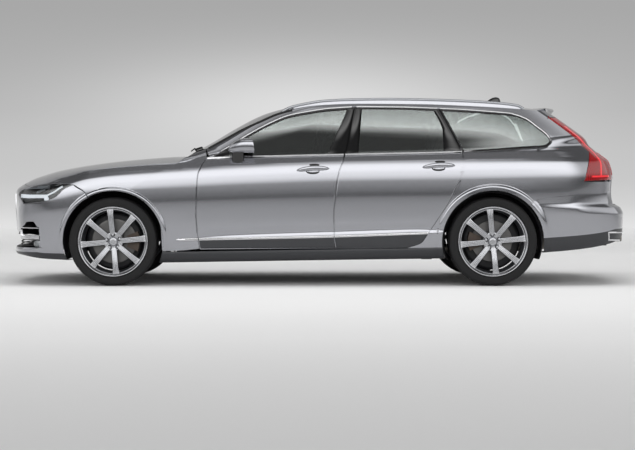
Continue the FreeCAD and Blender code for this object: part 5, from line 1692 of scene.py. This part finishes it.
gate_in = gate[6:-6:3, 4:-4:3]
gate_panel = gate_in - np.array([0.055, 0.0, 0.0])
pull = np.exp(-((gate_panel[..., 1] / 0.16) ** 4)) * np.exp(-(((gate_panel[..., 2] - 0.74) / 0.03) ** 4))
gate_panel[..., 0] += 0.02 * pull
posts_in = [sheet[1:-3, 1:-6] - (0.03, 0, 0) for sheet in gate_posts]
piece("tailgate_trim", [gate_panel, *posts_in], cabin_plastic, "tailgate_lid", "cabin_trim", facing=-1.0,
    about=(4.0, 0.0, 0.9))
gate_rim = [np.stack([edge_a, edge_b]) for edge_a, edge_b in ((gate_in[0], gate_panel[0]),
    (gate_in[-1], gate_panel[-1]), (gate_in[:, 0], gate_panel[:, 0]),
    (gate_in[:, -1], gate_panel[:, -1]))]
piece("tailgate_rim", gate_rim, silver_paint, "tailgate_lid", "body_paint", about=(2.25, 0.0, 0.85))

headliner = crowned(roof_middle, roof_edge, 2.3)[2:-2, 1:-1] + np.array([0.0, 0.0, -0.030])
side_linings = [lifted(sheet, side, -0.055)
    for sheet in (quarter[::2, 3::2], rear_pillar[2:-2:2, 2:-2:2])]
piece("headliner", [headliner], lining_felt, "body", "cabin_trim", facing=-1.0, about=(0.6, 0.0, 3.0))
both("cabin_side_lining", side_linings, lining_felt, "body", "cabin_trim", facing=-1.0,
    about=(1.6, -3.0, 0.9))

# ---------------------------------------------------------------- dashboard and steering wheel
# A padded fascia of grained plastic is carried across the cabin, with a hood over the dials and an
# upright glass panel. The wheel is bound in leather and tilts on its column.
dash_rows = [(-0.955, 0.880), (-0.930, 0.912), (-0.880, 0.930), (-0.800, 0.932), (-0.745, 0.922),
    (-0.722, 0.902), (-0.722, 0.902),
             (-0.726, 0.872), (-0.742, 0.850), (-0.742, 0.850), (-0.730, 0.838), (-0.724, 0.810),
                 (-0.735, 0.776), (-0.760, 0.740), (-0.830, 0.700), (-0.950, 0.694), (-0.955, 0.880)]
dash_line = along(dash_rows, 90)
dash_y = np.linspace(-0.755, 0.755, 121)[:, None]
hood = np.exp(-(((dash_y + 0.37) / 0.17) ** 4)) * ramp(dash_line[None, :, 1].repeat(121, 0), 0.90, 0.03)
stack = np.exp(-((dash_y / 0.15) ** 6)) * (1 - ramp(dash_line[None, :, 1].repeat(121, 0), 0.90, 0.03))
dash = placed(dash_line[None, :, 0] + 0.012 * stack - 0.02 * np.abs(dash_y / 0.755) ** 6, dash_y,
    dash_line[None, :, 1] + 0.012 * hood - 0.01 * np.abs(dash_y / 0.755) ** 4)
fascia = piece("dashboard_fascia", [capped(dash)], cabin_plastic, "body", "cabin_trim")
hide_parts("dashboard")
panel_y, panel_z = np.meshgrid(np.linspace(-0.085, 0.085, 20), np.linspace(0.715, 0.895, 20),
    indexing="ij")
panel = placed(-0.700 + 0 * panel_y - 0.10 * (panel_z - 0.80) ** 2, panel_y, panel_z)
piece("centre_panel", [hemmed(panel, gap=0.0, bend=0.003, depth=0.012, about=(-0.84, 0.0, 0.8))],
    gloss_black, "body", "black_trim", about=(-0.84, 0.0, 0.8))
across, up = rounded_ring(3.0)
vent_share = shares(6)
vents = [
    placed(-0.716 - 0.012 * (1 - vent_share), y + 0.055 * across * vent_share,
        0.878 + 0.020 * up * vent_share)
    for y in (-0.66, -0.17, 0.17, 0.66)]
piece("dashboard_vents", vents, gloss_black, "body", "black_trim", about=(-0.84, 0.0, 0.85))

wheel_centre, wheel_tilt, wheel_radius = np.array([-0.516, -0.370, 0.805]), math.radians(24.0), 0.172
wheel_across = np.array([0.0, 1.0, 0.0])
wheel_up = np.array([-math.sin(wheel_tilt), 0.0, math.cos(wheel_tilt)])
wheel_out = np.array([math.cos(wheel_tilt), 0.0, math.sin(wheel_tilt)])


def on_wheel(across, up, out):
    """Points from shares of the steering wheel's own directions, in metres."""
    return wheel_centre + across[..., None] * wheel_across + up[..., None] * wheel_up + out[...,
        None] * wheel_out


round_wheel = np.linspace(0.0, 2 * math.pi, 97)[:, None]
grip_angle = np.linspace(0.0, 2 * math.pi, 21)[None, :]
grip_size = 0.0145 + 0.002 * np.cos(2 * round_wheel) ** 8
radius = wheel_radius + grip_size * np.cos(grip_angle)
wheel_grip = on_wheel(radius * np.cos(round_wheel), radius * np.sin(round_wheel),
    grip_size * np.sin(grip_angle))
pad_share = shares(14)
across, up = rounded_ring(3.0)
boss = on_wheel(0.078 * across * np.sin(pad_share * math.pi / 2),
    0.066 * up * np.sin(pad_share * math.pi / 2) - 0.01,
    -0.045 + 0.05 * np.cos(pad_share * math.pi / 2) + 0 * across)
arms = []
for turn_at in (math.radians(8), math.radians(172), math.radians(270)):
    reach = np.linspace(0.055, 0.162, 12)[:, None]
    lateral = 0.017 * np.cos(grip_angle) + 0 * reach
    high = -0.020 + 0.008 * np.sin(grip_angle) + 0.10 * (reach - 0.055)
    arms.append(on_wheel(reach * math.cos(turn_at) - lateral * math.sin(turn_at),
        reach * math.sin(turn_at) + lateral * math.cos(turn_at), high + 0 * lateral))
shaft_run = np.linspace(-0.235, -0.035, 8)[:, None]
shaft = on_wheel(
    0.034 * np.cos(grip_angle) + 0 * shaft_run,
    0.034 * np.sin(grip_angle) + 0 * shaft_run,
    shaft_run + 0 * grip_angle)
steering = piece("steering_grip", [wheel_grip], black_leather, "body", "seat_leather", about=wheel_centre)
piece("steering_boss", [boss] + arms + [shaft], cabin_plastic, "body", "cabin_trim",
    about=wheel_centre - 0.06 * wheel_out)
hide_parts("steering_wheel")

# ---------------------------------------------------------------- seats
# Foam pads in tight black leather: bolstered cushions and backs with sewn channels, and small head
# restraints. Each pad is blown up a little inside its cover, which gives the crown.
cover_swell = 0.026     # furthest a cover stands from its cut shape


def pad_form(size, corner=0.38, count=(72, 48)):
    """Closed pillow: a superellipsoid of three half sizes, whose corners grow rounder with corner."""
    u = np.linspace(-math.pi, math.pi, count[0] + 1)[:, None]
    v = np.linspace(-math.pi / 2, math.pi / 2, count[1] + 1)[None, :]
    soft = lambda value: np.sign(value) * np.abs(value) ** corner
    x, y, z = soft(np.cos(v)) * soft(np.cos(u)), soft(np.cos(v)) * soft(np.sin(u)), soft(np.sin(v)) + 0 * u
    return placed(x * size[0], y * size[1], z * size[2])


def puffed(made, voxel=0.011):
    """A closed pad remeshed evenly, blown up as cloth, capped in how far it moved, and smoothed."""
    shape = made.data
    bpy.context.view_layer.objects.active = made
    remesh = made.modifiers.new("remesh", "REMESH")
    remesh.mode, remesh.voxel_size, remesh.use_smooth_shade = "VOXEL", voxel, True
    apply_modifiers(made)
    rest = np.empty(len(made.data.vertices) * 3)
    made.data.vertices.foreach_get("co", rest)
    cloth = made.modifiers.new("cloth", "CLOTH")
    cloth.settings.use_pressure, cloth.settings.uniform_pressure_force = True, 4.0
    cloth.settings.effector_weights.gravity = 0.0
    cloth.settings.quality = 4
    for frame_number in range(1, 21):
        bpy.context.scene.frame_set(frame_number)
    apply_modifiers(made)
    bpy.context.scene.frame_set(1)
    moved = np.empty(len(rest))
    made.data.vertices.foreach_get("co", moved)
    step = (moved - rest).reshape(-1, 3)
    length = np.linalg.norm(step, axis=1, keepdims=True)
    step *= np.minimum(cover_swell / np.maximum(length, 1e-9), 1.0)
    made.data.vertices.foreach_set("co", rest + step.ravel())
    subdivide = made.modifiers.new("subdivide", "SUBSURF")
    subdivide.levels = subdivide.render_levels = 1
    apply_modifiers(made)
    made.data.polygons.foreach_set("use_smooth", np.ones(len(made.data.polygons), bool))


def apply_modifiers(made):
    """Replaces a piece's mesh by what its modifiers make of it, with its own materials."""
    finished = bpy.data.meshes.new_from_object(made.evaluated_get(bpy.context.evaluated_depsgraph_get()))
    made.modifiers.clear()
    made.data = finished


def sewn(made, place, channels, width=0.007, depth=0.006):
    """Presses sewn channels into a pad. place turns its points into the cover's own (along, across,
    out), and each (kind, at, reach) channel is a line at one place along or across."""
    flat = np.empty(len(made.data.vertices) * 3)
    made.data.vertices.foreach_get("co", flat)
    points = flat.reshape(-1, 3)
    run, across, out, direction = place(points)
    press = np.zeros(len(points))
    for kind, at, reach in channels:
        here, other = (run, across) if kind == "along" else (across, run)
        press = np.maximum(press, np.exp(-((here - at) / width) ** 2) * (np.abs(other) < reach))
    press *= np.clip(out / 0.02, 0.0, 1.0)
    made.data.vertices.foreach_set("co", (points - direction * (press * depth)[:, None]).ravel())
    made.data.update()


def laid_back(points, foot, lean):
    """Leans an upright pad, built about the origin with its face forward, rearwards about its foot."""
    c, q = math.cos(lean), math.sin(lean)
    x, y, z = points[..., 0], points[..., 1], points[..., 2]
    return placed(foot[0] + x * c + z * q, foot[1] + y, foot[2] - x * q + z * c)


back_lean, bench_lean = math.radians(14.0), math.radians(13.0)
seat_cushion = pad_form((0.245, 0.235, 0.070))
seat_cushion[..., 2] += 0.030 * np.abs(seat_cushion[..., 1]
    / 0.235) ** 4 - 0.035 * np.clip(-seat_cushion[..., 0] / 0.245, 0, 1) ** 3 + 0.05 * (-seat_cushion[...,
    0])
seat_cushion = seat_cushion + np.array([-0.215, -0.390, 0.500])
seat_back = pad_form((0.062, 0.225, 0.300))
seat_back[..., 1] *= 1 - 0.16 * np.clip(seat_back[..., 2] / 0.30, 0, 1) ** 2
seat_back[..., 0] += -0.040 * np.abs(seat_back[..., 1] / 0.225) ** 4 * np.clip(1 - seat_back[..., 2]
    / 0.5, 0, 1) - 0.02 * np.cos(seat_back[..., 2] / 0.3 * 1.6)
seat_back = laid_back(seat_back + np.array([0.0, 0.0, 0.300]), (0.020, -0.390, 0.500), back_lean)
head_pad = laid_back(pad_form((0.045, 0.120, 0.070), 0.5), (0.155, -0.390, 1.125), math.radians(8.0))
bench_cushion = pad_form((0.215, 0.525, 0.062))
bench_cushion[..., 2] += 0.05 * (-bench_cushion[...,
    0]) - 0.02 * np.exp(-(((np.abs(bench_cushion[..., 1]) - 0.30) / 0.13) ** 4))
bench_cushion = bench_cushion + np.array([0.690, 0.0, 0.530])
bench_back = pad_form((0.060, 0.520, 0.260))
bench_back[..., 0] += 0.018 * np.exp(-(((np.abs(bench_back[..., 1]) - 0.29)
    / 0.14) ** 4)) - 0.02 * np.cos(bench_back[..., 2] / 0.26 * 1.6)
bench_back = laid_back(bench_back + np.array([0.0, 0.0, 0.260]), (0.940, 0.0, 0.530), bench_lean)
rear_heads = [laid_back(pad_form((0.038, 0.105, 0.050), 0.5), (1.085, y, 1.062), math.radians(10.0))
    for y in (-0.33, 0.0, 0.33)]


def cover(x, z, off, lean):
    """Gives a function that turns points into a cover's own (along, across, out) and names the way out.
    The cover looks forwards and leans back from its foot at (x, z), and at a quarter turn it looks up.
    off is the distance of a pair of covers from the middle of the car."""
    c, q = math.cos(lean), math.sin(lean)

    def place(points):
        behind, above = points[:, 0] - x, points[:, 2] - z
        across = np.abs(points[:, 1]) - off if off else points[:, 1]
        return behind * q + above * c, across, above * q - behind * c, np.array([-c, 0.0, q])

    return place


seat_top, seat_face = cover(-0.215, 0.500, 0.390, math.pi / 2), cover(0.020, 0.500, 0.390, back_lean)
bench_top, bench_face = cover(0.690, 0.530, 0.0, math.pi / 2), cover(0.940, 0.530, 0.0, bench_lean)

# columns: piece, form, cover directions, channels (kind, place, half reach)
front_pads = [
    ("front_seat_cushion", seat_cushion, seat_top, [("across", -0.135, 0.20), ("across", 0.135, 0.20),
        ("along", -0.10, 0.135), ("along", 0.02, 0.135)]),
    ("front_seat_back", seat_back, seat_face, [("across", -0.130, 0.55), ("across", 0.130, 0.55),
        ("along", 0.14, 0.13), ("along", 0.26, 0.13), ("along", 0.42, 0.2)]),
    ("front_head_pad", head_pad, None, []),
]
for name, form, place, channels in front_pads:
    left = piece(f"{name}_left", [form], black_leather, "body", "seat_leather")
    puffed(left)
    if place:
        sewn(left, place, channels)
    right = bpy.data.objects.new(f"{name}_right", left.data.copy())
    right.data.transform(Matrix.Scale(-1.0, 4, (0.0, 1.0, 0.0)))
    right.data.flip_normals()
    bpy.context.scene.collection.objects.link(right)
    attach(right, "body")
    if name == "front_seat_cushion":
        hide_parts("front_seats")
for name, form, place, channels in (
    ("bench_cushion", bench_cushion, bench_top, [("across", -0.175, 0.2), ("across", 0.175, 0.2),
        ("along", -0.07, 0.5), ("along", 0.06, 0.5)]),
    ("bench_back", bench_back, bench_face, [("across", -0.175, 0.5), ("across", 0.175, 0.5),
        ("along", 0.16, 0.5), ("along", 0.34, 0.5)]),
):
    pad = piece(name, [form], black_leather, "body", "seat_leather")
    puffed(pad, 0.013)
    sewn(pad, place, channels)
    if name == "bench_cushion":
        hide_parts("rear_seat")
for hand, form in zip(("left", "middle", "right"), rear_heads):
    pad = piece(f"rear_head_pad_{hand}", [form], black_leather, "body", "seat_leather")
    puffed(pad)

# Front seat frames: a moulded base under each cushion, a shell behind each back and two posts per head pad.
base_share = shares(8)
across, up = rounded_ring(5.0)
seat_base = placed(
    -0.205 + (0.215 - 0.03 * base_share) * across,
    -0.390 + (0.205 - 0.02 * base_share) * up,
    0.445 - 0.20 * base_share)
shell_flat = pad_form((0.022, 0.215, 0.280), 0.3)
shell_flat[..., 1] *= 1 - 0.16 * np.clip(shell_flat[..., 2] / 0.28, 0, 1) ** 2
seat_shell = laid_back(shell_flat + np.array([0.050, 0.0, 0.290]), (0.020, -0.390, 0.500), back_lean)
post_line = shares(6)
posts = [
    placed(0.148 + 0.030 * post_line + 0.007 * across, -0.390 + y + 0.007 * up, 1.020 + 0.085 * post_line)
    for y in (-0.05, 0.05)]
both("front_seat_base", [capped(seat_base)], cabin_plastic, "body", "cabin_trim")
both("front_seat_shell", [seat_shell], cabin_plastic, "body", "cabin_trim")
both("head_pad_posts", posts, bright_trim, "body", "bright_metal", about=(0.16, -0.39, 1.06))
